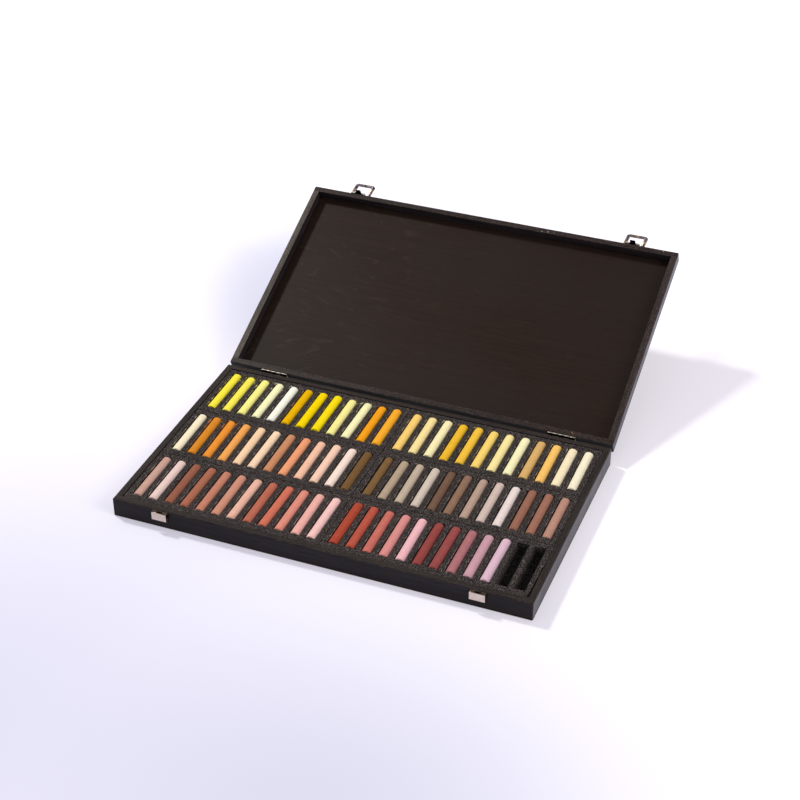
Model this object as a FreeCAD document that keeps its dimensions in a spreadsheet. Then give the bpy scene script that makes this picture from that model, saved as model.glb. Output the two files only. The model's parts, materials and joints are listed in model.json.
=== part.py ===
import FreeCAD, Part
import math
import os
import Sketcher

# A shallow wooden box for pastel sticks, standing open on a table.
# Lengths are in millimetres and angles in degrees. X runs to the right, Y to the back,
# Z up, and the origin is the middle of the underside. The lid and all that it carries are
# drawn closed and then turned open about the hinge axis, which is their rest position.

DRIVING_SIZES = {
    # the wooden case
    "box_width": 440,
    "box_depth": 264.5,
    "base_height": 21,
    "lid_height": 14,
    "wall_thickness": 7,
    "panel_thickness": 3,
    "rim_gap": 0.3,
    "edge_chamfer": 0.8,
    "lid_edge_chamfer": 1.1,
    "lid_opening_angle": 157.7,
    # how far every cut runs out of its piece
    "cut_overrun": 1,
    # the foam trays
    "foam_thickness": 17.2,
    "foam_clearance": 0.4,
    "foam_seat_gap": 0.3,
    "tray_end_margin": 5.9,
    "slot_depth": 9.8,
    # the pastel sticks
    "stick_diameter": 10.8,
    "stick_length": 66.2,
    "stick_clearance": 0.3,
    # the butt hinges on the back faces
    "hinge_inset": 55,
    "hinge_length": 30,
    "hinge_offset": 1.9,
    "barrel_diameter": 3.2,
    "hinge_pin_diameter": 1.6,
    "pin_play": 0.05,
    "pin_end": 0.4,
    "knuckle_gap": 0.3,
    "leaf_height": 7.6,
    "leaf_thickness": 0.8,
    "leaf_notch": 2,
    "leaf_corner": 1.2,
    # the screws of the hinges
    "screw_drop": 4.7,
    "screw_spacing": 18,
    "screw_head_diameter": 4.4,
    "screw_head_height": 1.8,
    "screw_shank_diameter": 2,
    "screw_length": 6,
    "pilot_play": 0.05,
    # the toggle latches on the front of the lid
    "latch_inset": 53.7,
    "latch_width": 15.8,
    "latch_sheet": 0.8,
    "latch_plate_rise": 0.6,
    "latch_plate_height": 9.8,
    "latch_corner": 1,
    "pivot_out": 2.5,
    "pivot_rise": 2.5,
    "latch_knuckle_diameter": 2.8,
    "centre_knuckle_width": 7.2,
    "latch_pin_diameter": 1.3,
    "tongue_width": 6.1,
    "tongue_out": 2.5,
    "tongue_reach": 2.9,
    "tongue_chamfer": 0.5,
    "lever_height": 7.8,
    "lever_channel_start": 1.8,
    "lever_cheek_cut": 1.2,
    "lever_tab_width": 9,
    "lever_tab_rise": 2.6,
    "lever_tab_lean": 1.7,
    # the wire bails that swing on the levers
    "wire_diameter": 1.8,
    "bail_pivot_rise": 5.9,
    "bail_reach": 19.5,
    "bail_side_gap": 0.3,
    "bail_corner": 2.2,
    "bail_eye_corner": 1.2,
    "bail_end_inset": 1.2,
    "left_bail_angle": 79,
    "right_bail_angle": 74.5,
    # the keepers on the front of the base
    "keeper_drop": 0.7,
    "keeper_standoff": 4.4,
    "keeper_lip_height": 8.7,
    "keeper_plate_height": 11.8,
    "keeper_window_width": 6.7,
    "keeper_bend": 0.6,
    # the domed nails of the latches and the keepers
    "keeper_nail_drop": 11,
    "keeper_nail_spacing": 9.6,
    "latch_nail_rise": 7.2,
    "latch_nail_spacing": 9,
    "nail_head_diameter": 2.6,
    "nail_head_height": 0.6,
    "nail_shank_diameter": 1.4,
    "nail_length": 5,
}

TRAY_ROWS = ("back", "middle", "front")
TRAY_COLUMNS = ("left", "right")
SLOTS_PER_TRAY = 12
HINGE_KNUCKLES = 5
STICK_FLATS = 16
SMALL_FLATS = 8
SIDES = {"left": "-1", "right": "1"}
SAME_PLACE = 1e-6
HALF_TURN = "180"

# A fastener's head narrows in two steps: shares of its radius, and of its height, at each.
DOME_SHARES = ((1, 0), (0.8, 0.6), (0.35, 1))

# Runs of sticks of one pigment in each tray: the first slot and the number of sticks.
STICK_RUNS = {
    ("back", "left"): (("lemon_yellow", 0, 5), ("deep_yellow", 5, 5), ("orange", 10, 2)),
    ("back", "right"): (("orange", 0, 3), ("golden_ochre", 3, 5), ("olive_ochre", 8, 4)),
    ("middle", "left"): (
        ("olive_ochre", 0, 1), ("burnt_orange", 1, 5), ("salmon_brown", 6, 5), ("olive_grey", 11, 1),
    ),
    ("middle", "right"): (("olive_grey", 0, 4), ("umber", 4, 5), ("red_brown", 9, 3)),
    ("front", "left"): (("red_brown", 0, 2), ("sienna_red", 2, 5), ("coral_red", 7, 5)),
    ("front", "right"): (("vermilion", 0, 5), ("mauve", 5, 5)),
}

# Places and sizes that follow from the driving ones, written as expressions.
HALF_WIDTH = "Sizes.box_width / 2"
HALF_DEPTH = "Sizes.box_depth / 2"
INNER_WIDTH = "(Sizes.box_width - 2 * Sizes.wall_thickness)"
INNER_DEPTH = "(Sizes.box_depth - 2 * Sizes.wall_thickness)"
LID_RIM = "(Sizes.base_height + Sizes.rim_gap)"
LID_WALL_HEIGHT = "(Sizes.lid_height - Sizes.panel_thickness)"
HINGE_Y = f"({HALF_DEPTH} + Sizes.hinge_offset)"
HINGE_Z = "(Sizes.base_height + Sizes.rim_gap / 2)"
FOAM_UNDER = "(Sizes.panel_thickness + Sizes.foam_seat_gap)"
SLOT_FLOOR = f"({FOAM_UNDER} + Sizes.foam_thickness - Sizes.slot_depth)"
SLOT_WIDTH = "(Sizes.stick_diameter + 2 * Sizes.stick_clearance)"
SLOT_LENGTH = "(Sizes.stick_length + 2 * Sizes.stick_clearance)"
TRAY_WIDTH = (
    f"(({INNER_WIDTH} - {len(TRAY_COLUMNS) + 1} * Sizes.foam_clearance) / {len(TRAY_COLUMNS)})"
)
TRAY_DEPTH = (
    f"(({INNER_DEPTH} - {len(TRAY_ROWS) + 1} * Sizes.foam_clearance) / {len(TRAY_ROWS)})"
)
SLOT_PITCH = (
    f"(({TRAY_WIDTH} - 2 * Sizes.tray_end_margin - {SLOT_WIDTH}) / {SLOTS_PER_TRAY - 1})"
)
FIRST_SLOT = f"(-{SLOTS_PER_TRAY - 1} * {SLOT_PITCH} / 2)"
HINGE_CENTRE = f"({HALF_WIDTH} - Sizes.hinge_inset)"
LATCH_CENTRE = f"({HALF_WIDTH} - Sizes.latch_inset)"
TO_CORNERS = f"/ cos({180 / SMALL_FLATS})"
HINGE_BORE = f"((Sizes.hinge_pin_diameter / 2 + Sizes.pin_play) {TO_CORNERS})"
SCREW_BORE = "(Sizes.screw_shank_diameter / 2 + Sizes.pilot_play)"
NAIL_BORE = "(Sizes.nail_shank_diameter / 2 + Sizes.pilot_play)"
LATCH_PIN_BORE = f"((Sizes.latch_pin_diameter / 2 + Sizes.pin_play) {TO_CORNERS})"
WIRE_BORE = "(Sizes.wire_diameter / 2 + Sizes.pin_play)"
KNUCKLE_RADIUS = "Sizes.latch_knuckle_diameter / 2"
BAIL_ARM_X = "(Sizes.latch_width / 2 + Sizes.bail_side_gap + Sizes.wire_diameter / 2)"
NO_TURN = "rotation(vector(1; 0; 0); 0)"
LID_TURN = (
    "placement(vector(0; 0; 0); rotation(vector(1; 0; 0); -Sizes.lid_opening_angle);"
    f" vector(0; {HINGE_Y}; {HINGE_Z}))"
)

doc = FreeCAD.newDocument("PastelBox")
sheet = doc.addObject("Spreadsheet::Sheet", "Sizes")
for row, (size_name, size) in enumerate(DRIVING_SIZES.items(), start=1):
    sheet.set(f"A{row}", size_name)
    sheet.set(f"B{row}", str(size))
    sheet.setAlias(f"B{row}", size_name)
doc.recompute()

sub_parts = []


def value(expression):
    """The number that an expression of the sheet gives now."""
    return float(sheet.evalExpression(expression))


def near(first, second):
    """Whether two lengths are the same but for rounding."""
    return abs(first - second) < SAME_PLACE


def new_body(label):
    """An empty body whose label names its file."""
    body = doc.addObject("PartDesign::Body", label)
    body.Label = label
    sub_parts.append(body)
    return body


def place(body, x, y, z, carrier=None, turn="0"):
    """Put a body at a point of its carrier's frame, turned about its own X axis."""
    spot = f"placement(vector({x}; {y}; {z}); rotation(vector(1; 0; 0); {turn}))"
    body.setExpression("Placement", f"{carrier} * {spot}" if carrier else spot)


def attach(body, role, offset=None):
    """A sketch on one of the body's own origin planes, or offset from it along its normal."""
    plane = next(item for item in body.Origin.OriginFeatures if item.Role == role)
    sketch = body.newObject("Sketcher::SketchObject", f"{body.Name}_outline")
    sketch.AttachmentSupport = [(plane, "")]
    sketch.MapMode = "FlatFace"
    if offset:
        sketch.setExpression("AttachmentOffset.Base.z", offset)
    return sketch


def hold(sketch, kind, references, expression):
    """Add one dimension to a sketch and bind it to an expression."""
    index = sketch.addConstraint(Sketcher.Constraint(kind, *references, value(expression)))
    sketch.setExpression(f"Constraints[{index}]", expression)


def pin_point(sketch, geometry, end, x, y):
    """Fix a point of a sketch's element by its distances from the origin."""
    hold(sketch, "DistanceX", (-1, 1, geometry, end), x)
    hold(sketch, "DistanceY", (-1, 1, geometry, end), y)


def draw_loop(sketch, corners, first_edge=None):
    """A closed loop through corners, each a pair of expressions, with straight edges."""
    points = [FreeCAD.Vector(value(x), value(y), 0) for x, y in corners]
    ends = list(zip(points, points[1:] + points[:1]))
    shapes = [Part.LineSegment(start, end) for start, end in ends]
    if first_edge:
        shapes[0] = first_edge
    edges = [sketch.addGeometry(shape, False) for shape in shapes]
    for edge, following in zip(edges, edges[1:] + edges[:1]):
        sketch.addConstraint(Sketcher.Constraint("Coincident", edge, 2, following, 1))
    for edge, (x, y) in zip(edges[1:] + edges[:1], corners[1:] + corners[:1]):
        pin_point(sketch, edge, 1, x, y)
    return sketch


def rectangle(sketch, low, high):
    """A rectangle from one corner to the opposite one."""
    return draw_loop(sketch, [low, (high[0], low[1]), high, (low[0], high[1])])


def circle(sketch, x, y, radius):
    """A circle about a point."""
    centre = FreeCAD.Vector(value(x), value(y), 0)
    ring = sketch.addGeometry(Part.Circle(centre, FreeCAD.Vector(0, 0, 1), value(radius)), False)
    pin_point(sketch, ring, 3, x, y)
    hold(sketch, "Radius", (ring,), radius)
    return sketch


def polygon(sketch, x, y, radius, flats=SMALL_FLATS):
    """A regular polygon with its corners on a circle about a point. It draws the small or often
    repeated round outlines, so that the whole model stays light."""
    turns = [360 * number / flats for number in range(flats)]
    corners = [(f"{x} + {radius} * cos({turn})", f"{y} + {radius} * sin({turn})") for turn in turns]
    return draw_loop(sketch, corners)


def pad(body, sketch, length, symmetric=False, reverse=False):
    """Add material along the sketch's normal."""
    feature = body.newObject("PartDesign::Pad", f"{body.Name}_pad")
    feature.Profile = sketch
    feature.Midplane = symmetric
    feature.Reversed = reverse
    feature.setExpression("Length", length)
    doc.recompute()
    return feature


def pocket(body, sketch, length, symmetric=False, reverse=False):
    """Cut material away against the sketch's normal, and stop if the cut took nothing."""
    before = body.Shape.Volume
    feature = body.newObject("PartDesign::Pocket", f"{body.Name}_pocket")
    feature.Profile = sketch
    feature.Midplane = symmetric
    feature.Reversed = reverse
    feature.setExpression("Length", length)
    doc.recompute()
    if not body.Shape.Volume < before:
        raise RuntimeError(f"{feature.Name} cuts nothing from {body.Label}")
    return feature


def row_pattern(body, sketch, step, count):
    """A linear pattern along a sketch's own X axis, not yet given its features."""
    pattern = body.newObject("PartDesign::LinearPattern", f"{body.Name}_row")
    pattern.Direction = (sketch, ["H_Axis"])
    pattern.Mode = "Spacing"
    pattern.setExpression("Offset", step)
    pattern.Occurrences = count
    return pattern


def repeat(body, features, sketch, step, count):
    """A row of copies of features, a step apart along a sketch's own X axis."""
    pattern = row_pattern(body, sketch, step, count)
    pattern.Originals = features
    body.Tip = pattern
    doc.recompute()


def repeat_pairs(body, features, sketch, near_step, far_step):
    """Four copies in a row: a pair near_step apart, and the same pair far_step away."""
    grid = body.newObject("PartDesign::MultiTransform", f"{body.Name}_grid")
    grid.Originals = features
    grid.Transformations = [row_pattern(body, sketch, step, 2) for step in (near_step, far_step)]
    body.Tip = grid
    doc.recompute()


def soften(body, kind, size, wanted):
    """Round or chamfer the edges of the body so far whose middle point passes a test."""
    base_feature = body.Tip
    edges = [
        f"Edge{number}"
        for number, edge in enumerate(base_feature.Shape.Edges, start=1)
        if wanted(edge, edge.CenterOfMass)
    ]
    if not edges:
        raise RuntimeError(f"no edge of {body.Label} to soften")
    feature = body.newObject(f"PartDesign::{kind}", f"{body.Name}_{kind.lower()}")
    feature.Base = (base_feature, edges)
    feature.setExpression("Radius" if kind == "Fillet" else "Size", size)
    doc.recompute()


# The wooden case: butted walls on a panel, front and back walls over the full width.

def outer_edges(level):
    """A test for the arrises on the case's outside: upright corners, and edges at one level."""
    half_width = value(HALF_WIDTH)
    half_depth = value(HALF_DEPTH)
    height = value(level)

    def wanted(edge, middle):
        on_side = near(abs(middle.x), half_width)
        on_end = near(abs(middle.y), half_depth)
        if near(edge.BoundBox.ZLength, 0):
            return near(middle.z, height) and (on_side or on_end)
        return on_side and on_end

    return wanted


def board(label, low, high, bottom, thickness, soft_level, chamfer, carrier):
    """A board from low to high in plan, with its arrises on the case's outside eased."""
    body = new_body(label)
    pad(body, rectangle(attach(body, "XY_Plane", bottom), low, high), thickness)
    soften(body, "Chamfer", chamfer, outer_edges(soft_level))
    if carrier:
        body.setExpression("Placement", carrier)
    return body


def case_half(name, rim, wall_bottom, wall_height, panel_bottom, panel_face, panel_ease, carrier):
    """The four walls and the panel of the base or the lid."""
    inner_x = f"({INNER_WIDTH} / 2)"
    inner_y = f"({INNER_DEPTH} / 2)"
    plans = {
        "front_wall": ((f"-{HALF_WIDTH}", f"-{HALF_DEPTH}"), (HALF_WIDTH, f"-{inner_y}")),
        "back_wall": ((f"-{HALF_WIDTH}", inner_y), (HALF_WIDTH, HALF_DEPTH)),
        "left_wall": ((f"-{HALF_WIDTH}", f"-{inner_y}"), (f"-{inner_x}", inner_y)),
        "right_wall": ((inner_x, f"-{inner_y}"), (HALF_WIDTH, inner_y)),
    }
    boards = {
        key: board(
            f"{name}_{key}", low, high, wall_bottom, wall_height, rim, "Sizes.edge_chamfer", carrier
        )
        for key, (low, high) in plans.items()
    }
    board(
        f"{name}_panel", (f"-{HALF_WIDTH}", f"-{HALF_DEPTH}"), (HALF_WIDTH, HALF_DEPTH),
        panel_bottom, "Sizes.panel_thickness", panel_face, panel_ease, carrier,
    )
    return boards


def pilot_holes(wall, face, reverse, height, centre, spacing, radius, depth):
    """Blind holes in a wall's outer face for two fittings with two fasteners each."""
    sketch = attach(wall, "XZ_Plane", face)
    for side in SIDES.values():
        for hand in SIDES.values():
            middle = f"{side} * {centre} + {hand} * {spacing} / 2"
            polygon(sketch, middle, height, radius)
    pocket(wall, sketch, f"{depth} + Sizes.pilot_play", reverse=reverse)


base_boards = case_half(
    "base", "Sizes.base_height", "Sizes.panel_thickness",
    "Sizes.base_height - Sizes.panel_thickness", "0", "0",
    "min(Sizes.edge_chamfer; Sizes.panel_thickness / 2)", None,
)
lid_boards = case_half(
    "lid", LID_RIM, LID_RIM, LID_WALL_HEIGHT, f"{LID_RIM} + {LID_WALL_HEIGHT}",
    f"{LID_RIM} + Sizes.lid_height", "min(Sizes.lid_edge_chamfer; Sizes.panel_thickness / 2)",
    LID_TURN,
)
for boards, direction in ((base_boards, "-"), (lid_boards, "+")):
    pilot_holes(
        boards["back_wall"], f"-{HALF_DEPTH}", True, f"{HINGE_Z} {direction} Sizes.screw_drop",
        HINGE_CENTRE, "Sizes.screw_spacing", SCREW_BORE,
        "Sizes.screw_length - Sizes.leaf_thickness",
    )
for boards, height, spacing in (
    (base_boards, "Sizes.base_height - Sizes.keeper_nail_drop", "Sizes.keeper_nail_spacing"),
    (lid_boards, f"{LID_RIM} + Sizes.latch_nail_rise", "Sizes.latch_nail_spacing"),
):
    pilot_holes(
        boards["front_wall"], HALF_DEPTH, False, height, LATCH_CENTRE, spacing, NAIL_BORE,
        "Sizes.nail_length - Sizes.latch_sheet",
    )


# The foam trays, each a block with a row of slots, and the sticks that lie in them.

def tray_middle(row, column):
    """The plan position of a tray's middle, as two expressions."""
    halves_right = 2 * TRAY_COLUMNS.index(column) - len(TRAY_COLUMNS) + 1
    halves_back = len(TRAY_ROWS) - 1 - 2 * TRAY_ROWS.index(row)
    return (
        f"{halves_right} * ({TRAY_WIDTH} + Sizes.foam_clearance) / 2",
        f"{halves_back} * ({TRAY_DEPTH} + Sizes.foam_clearance) / 2",
    )


def foam_tray(row, column):
    """One foam block with its slots, which run from front to back."""
    body = new_body(f"foam_tray_{row}_{column}")
    block = rectangle(
        attach(body, "XY_Plane"),
        (f"-{TRAY_WIDTH} / 2", f"-{TRAY_DEPTH} / 2"), (f"{TRAY_WIDTH} / 2", f"{TRAY_DEPTH} / 2"),
    )
    pad(body, block, "Sizes.foam_thickness")
    slot = rectangle(
        attach(body, "XY_Plane", "Sizes.foam_thickness"),
        (f"{FIRST_SLOT} - {SLOT_WIDTH} / 2", f"-{SLOT_LENGTH} / 2"),
        (f"{FIRST_SLOT} + {SLOT_WIDTH} / 2", f"{SLOT_LENGTH} / 2"),
    )
    repeat(body, [pocket(body, slot, "Sizes.slot_depth")], slot, SLOT_PITCH, SLOTS_PER_TRAY)
    x, y = tray_middle(row, column)
    place(body, x, y, FOAM_UNDER)


def stick_run(row, column, pigment, first, count):
    """Neighbouring sticks of one pigment, each lying in a slot of one tray."""
    body = new_body(f"sticks_{pigment}_{row}_{column}")
    section = polygon(
        attach(body, "XZ_Plane"), "0", "0", "Sizes.stick_diameter / 2", STICK_FLATS
    )
    stick = pad(body, section, "Sizes.stick_length", symmetric=True)
    if count > 1:
        repeat(body, [stick], section, SLOT_PITCH, count)
    x, y = tray_middle(row, column)
    height = f"{SLOT_FLOOR} + Sizes.stick_clearance + Sizes.stick_diameter / 2"
    place(body, f"{x} + {FIRST_SLOT} + {first} * {SLOT_PITCH}", y, height)


for tray_row in TRAY_ROWS:
    for tray_column in TRAY_COLUMNS:
        foam_tray(tray_row, tray_column)
        for run in STICK_RUNS[tray_row, tray_column]:
            stick_run(tray_row, tray_column, *run)


# The hinges. A leaf's frame has its origin on the axis, in the middle of the hinge, and
# the case's back face behind it. A base leaf hangs down and a lid leaf stands up.

KNUCKLE_LENGTH = (
    f"((Sizes.hinge_length - {HINGE_KNUCKLES - 1} * Sizes.knuckle_gap) / {HINGE_KNUCKLES})"
)
KNUCKLE_STEP = f"({KNUCKLE_LENGTH} + Sizes.knuckle_gap)"


def hinge_leaf(side, half, up, first_knuckle, knuckle_count, carrier):
    """A leaf with its rolled knuckles, its bore and two screw holes."""
    body = new_body(f"{half}_hinge_leaf_{side}")
    wall_face = "Sizes.hinge_offset"
    half_length = "Sizes.hinge_length / 2"
    plate = rectangle(
        attach(body, "XZ_Plane", wall_face),
        (f"-{half_length}", f"{up} * Sizes.leaf_notch"),
        (half_length, f"{up} * Sizes.leaf_height"),
    )
    pad(body, plate, "Sizes.leaf_thickness", reverse=True)
    leaf_end = value("Sizes.leaf_height")
    leaf_side = value(half_length)
    soften(
        body, "Chamfer", "Sizes.leaf_corner",
        lambda edge, middle: near(abs(middle.x), leaf_side) and near(abs(middle.z), leaf_end),
    )
    start = f"{first_knuckle} * {KNUCKLE_STEP} - {half_length}"
    neck = rectangle(
        attach(body, "YZ_Plane", start),
        (f"-{wall_face}", f"{up} * (Sizes.leaf_notch + Sizes.knuckle_gap)"),
        (f"Sizes.leaf_thickness - {wall_face}", f"{up} * Sizes.rim_gap / 2"),
    )
    barrel = circle(attach(body, "YZ_Plane", start), "0", "0", "Sizes.barrel_diameter / 2")
    rolled = [pad(body, neck, KNUCKLE_LENGTH), pad(body, barrel, KNUCKLE_LENGTH)]
    repeat(body, rolled, plate, f"2 * {KNUCKLE_STEP}", knuckle_count)
    bore = polygon(attach(body, "YZ_Plane"), "0", "0", HINGE_BORE)
    pocket(body, bore, "Sizes.hinge_length + Sizes.cut_overrun", symmetric=True)
    holes = attach(body, "XZ_Plane", wall_face)
    for hand in SIDES.values():
        polygon(holes, f"{hand} * Sizes.screw_spacing / 2", f"{up} * Sizes.screw_drop", SCREW_BORE)
    pocket(body, holes, "Sizes.leaf_thickness + Sizes.cut_overrun")
    place(body, f"{SIDES[side]} * {HINGE_CENTRE}", HINGE_Y, HINGE_Z, carrier)


def pivot_pin(label, diameter, length, x, y, z, carrier=None):
    """A plain pin along X."""
    body = new_body(label)
    section = circle(attach(body, "YZ_Plane"), "0", "0", f"{diameter} / 2")
    pad(body, section, length, symmetric=True)
    place(body, x, y, z, carrier)


for hinge_side, sign in SIDES.items():
    hinge_leaf(hinge_side, "base", "-1", 0, (HINGE_KNUCKLES + 1) // 2, None)
    hinge_leaf(hinge_side, "lid", "1", 1, HINGE_KNUCKLES // 2, LID_TURN)
    pivot_pin(
        f"hinge_pin_{hinge_side}", "Sizes.hinge_pin_diameter",
        "Sizes.hinge_length + 2 * Sizes.pin_end", f"{sign} * {HINGE_CENTRE}", HINGE_Y, HINGE_Z,
    )


# The toggle latches. A latch's frame has its origin on the lid's front face, at the rim
# and in the middle of the latch, and the lever's own frame has its origin on the pivot.

def latch_frame(side):
    """The frame of one latch, as an expression."""
    spot = f"vector({SIDES[side]} * {LATCH_CENTRE}; -{HALF_DEPTH}; {LID_RIM})"
    return f"{LID_TURN} * placement({spot}; {NO_TURN})"


def nailed_holes(body, height, spacing):
    """Two nail holes through a sheet that lies on the frame's XZ plane."""
    sketch = attach(body, "XZ_Plane")
    for hand in SIDES.values():
        polygon(sketch, f"{hand} * {spacing} / 2", height, NAIL_BORE)
    pocket(body, sketch, "Sizes.latch_sheet + Sizes.cut_overrun", reverse=True)


def latch_plate(side):
    """The nailed plate with its centre knuckle and the tongue that enters the keeper."""
    body = new_body(f"latch_plate_{side}")
    half_width = "Sizes.latch_width / 2"
    plate_top = "Sizes.latch_plate_rise + Sizes.latch_plate_height"
    sheet_outline = rectangle(
        attach(body, "XZ_Plane"), (f"-{half_width}", "Sizes.latch_plate_rise"), (half_width, plate_top)
    )
    pad(body, sheet_outline, "Sizes.latch_sheet")
    plate_side = value(half_width)
    top_level = value(plate_top)
    soften(
        body, "Chamfer", "Sizes.latch_corner",
        lambda edge, middle: near(abs(middle.x), plate_side) and near(middle.z, top_level),
    )
    under = f"Sizes.pivot_rise - {KNUCKLE_RADIUS}"
    neck = rectangle(
        attach(body, "YZ_Plane"), ("0", under), ("-Sizes.pivot_out", f"{under} + Sizes.latch_sheet")
    )
    pad(body, neck, "Sizes.centre_knuckle_width", symmetric=True)
    knuckle = circle(attach(body, "YZ_Plane"), "-Sizes.pivot_out", "Sizes.pivot_rise", KNUCKLE_RADIUS)
    pad(body, knuckle, "Sizes.centre_knuckle_width", symmetric=True)
    tongue = rectangle(
        attach(body, "YZ_Plane"), ("-Sizes.tongue_out", "-Sizes.tongue_reach"),
        ("-(Sizes.tongue_out + Sizes.latch_sheet)", "Sizes.pivot_rise"),
    )
    pad(body, tongue, "Sizes.tongue_width", symmetric=True)
    tongue_side = value("Sizes.tongue_width / 2")
    tip_level = value("-Sizes.tongue_reach")
    soften(
        body, "Chamfer", "Sizes.tongue_chamfer",
        lambda edge, middle: near(abs(middle.x), tongue_side) and near(middle.z, tip_level),
    )
    bore = polygon(attach(body, "YZ_Plane"), "-Sizes.pivot_out", "Sizes.pivot_rise", LATCH_PIN_BORE)
    pocket(body, bore, "Sizes.centre_knuckle_width + Sizes.cut_overrun", symmetric=True)
    nailed_holes(body, "Sizes.latch_nail_rise", "Sizes.latch_nail_spacing")
    body.setExpression("Placement", latch_frame(side))


def latch_lever(side):
    """The pressed lever: two cheeks and side knuckles behind a face that ends in a thumb tab."""
    body = new_body(f"latch_lever_{side}")
    out = f"-{KNUCKLE_RADIUS}"
    inside = f"(Sizes.latch_sheet - {KNUCKLE_RADIUS})"
    tab_end = "Sizes.lever_height + Sizes.lever_tab_rise"
    profile = draw_loop(
        attach(body, "YZ_Plane"),
        [
            (KNUCKLE_RADIUS, "0"),
            (KNUCKLE_RADIUS, "Sizes.lever_height - Sizes.lever_cheek_cut"),
            (f"{KNUCKLE_RADIUS} - Sizes.lever_cheek_cut", "Sizes.lever_height"),
            (inside, "Sizes.lever_height"),
            (f"{inside} - Sizes.lever_tab_lean", tab_end),
            (f"{out} - Sizes.lever_tab_lean", tab_end),
            (out, "Sizes.lever_height"),
            (out, "0"),
        ],
    )
    pad(body, profile, "Sizes.latch_width", symmetric=True)
    knuckles = circle(attach(body, "YZ_Plane"), "0", "0", KNUCKLE_RADIUS)
    pad(body, knuckles, "Sizes.latch_width", symmetric=True)
    channel = rectangle(
        attach(body, "YZ_Plane"), (inside, "Sizes.lever_channel_start"),
        (f"{KNUCKLE_RADIUS} + Sizes.cut_overrun", "Sizes.lever_height + Sizes.cut_overrun"),
    )
    pocket(body, channel, "Sizes.latch_width - 2 * Sizes.latch_sheet", symmetric=True)
    centre_gap = rectangle(
        attach(body, "YZ_Plane"),
        (f"{out} - Sizes.cut_overrun", f"{out} - Sizes.cut_overrun"),
        (f"{KNUCKLE_RADIUS} + Sizes.cut_overrun", "Sizes.lever_channel_start"),
    )
    pocket(body, centre_gap, "Sizes.centre_knuckle_width + 2 * Sizes.knuckle_gap", symmetric=True)
    shoulders = attach(body, "XZ_Plane")
    for hand in SIDES.values():
        rectangle(
            shoulders, (f"{hand} * Sizes.lever_tab_width / 2", "Sizes.lever_height"),
            (
                f"{hand} * (Sizes.latch_width / 2 + Sizes.cut_overrun)",
                f"{tab_end} + Sizes.cut_overrun",
            ),
        )
    pocket(
        body, shoulders, f"2 * (Sizes.lever_tab_lean + {KNUCKLE_RADIUS} + Sizes.cut_overrun)",
        symmetric=True,
    )
    tab_side = value("Sizes.lever_tab_width / 2")
    tab_level = value(tab_end)
    soften(
        body, "Chamfer", "Sizes.latch_corner",
        lambda edge, middle: near(abs(middle.x), tab_side) and near(middle.z, tab_level),
    )
    bores = polygon(attach(body, "YZ_Plane"), "0", "0", LATCH_PIN_BORE)
    circle(bores, "0", "Sizes.bail_pivot_rise", WIRE_BORE)
    pocket(body, bores, "Sizes.latch_width + Sizes.cut_overrun", symmetric=True)
    place(body, "0", "-Sizes.pivot_out", "Sizes.pivot_rise", latch_frame(side))


def bail_path(body):
    """The centre line of a bail: in through one cheek's hole, out along the arms and back."""
    sketch = attach(body, "XZ_Plane")
    end_x = value("Sizes.latch_width / 2 - Sizes.bail_end_inset")
    arm_x = value(BAIL_ARM_X)
    reach = value("Sizes.bail_reach")
    eye = value("Sizes.bail_eye_corner")
    corner = value("Sizes.bail_corner")
    straights = (
        ((-end_x, 0), (eye - arm_x, 0)),
        ((-arm_x, eye), (-arm_x, reach - corner)),
        ((corner - arm_x, reach), (arm_x - corner, reach)),
        ((arm_x, reach - corner), (arm_x, eye)),
        ((arm_x - eye, 0), (end_x, 0)),
    )
    lines = [
        sketch.addGeometry(Part.LineSegment(FreeCAD.Vector(*start), FreeCAD.Vector(*end)), False)
        for start, end in straights
    ]
    bends = (
        ((-arm_x + eye, eye), "Sizes.bail_eye_corner", 180, 270),
        ((-arm_x + corner, reach - corner), "Sizes.bail_corner", 90, 180),
        ((arm_x - corner, reach - corner), "Sizes.bail_corner", 0, 90),
        ((arm_x - eye, eye), "Sizes.bail_eye_corner", 270, 360),
    )
    for number, (centre, radius, low, high) in enumerate(bends):
        ring = Part.Circle(FreeCAD.Vector(*centre), FreeCAD.Vector(0, 0, 1), value(radius))
        bend = sketch.addGeometry(
            Part.ArcOfCircle(ring, math.radians(low), math.radians(high)), False
        )
        sketch.addConstraint(Sketcher.Constraint("Tangent", lines[number], 2, bend, 2))
        sketch.addConstraint(Sketcher.Constraint("Tangent", bend, 1, lines[number + 1], 1))
        hold(sketch, "Radius", (bend,), radius)
    for number, line in enumerate(lines):
        level = "Vertical" if number % 2 else "Horizontal"
        sketch.addConstraint(Sketcher.Constraint(level, line))
    pin_point(sketch, lines[0], 1, "-(Sizes.latch_width / 2 - Sizes.bail_end_inset)", "0")
    pin_point(sketch, lines[-1], 2, "Sizes.latch_width / 2 - Sizes.bail_end_inset", "0")
    hold(sketch, "DistanceX", (-1, 1, lines[1], 1), f"-{BAIL_ARM_X}")
    hold(sketch, "DistanceX", (-1, 1, lines[3], 1), BAIL_ARM_X)
    hold(sketch, "DistanceY", (-1, 1, lines[2], 1), "Sizes.bail_reach")
    return sketch


def latch_bail(side):
    """The bent wire that hooks under the keeper. Its frame has its origin on its pivot."""
    body = new_body(f"latch_bail_{side}")
    path = bail_path(body)
    start = "-(Sizes.latch_width / 2 - Sizes.bail_end_inset)"
    section = polygon(attach(body, "YZ_Plane", start), "0", "0", "Sizes.wire_diameter / 2")
    wire = body.newObject("PartDesign::AdditivePipe", f"{body.Name}_wire")
    wire.Profile = section
    wire.Spine = (path, [])
    doc.recompute()
    place(
        body, "0", "-Sizes.pivot_out", "Sizes.pivot_rise + Sizes.bail_pivot_rise",
        latch_frame(side), f"Sizes.{side}_bail_angle",
    )


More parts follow.
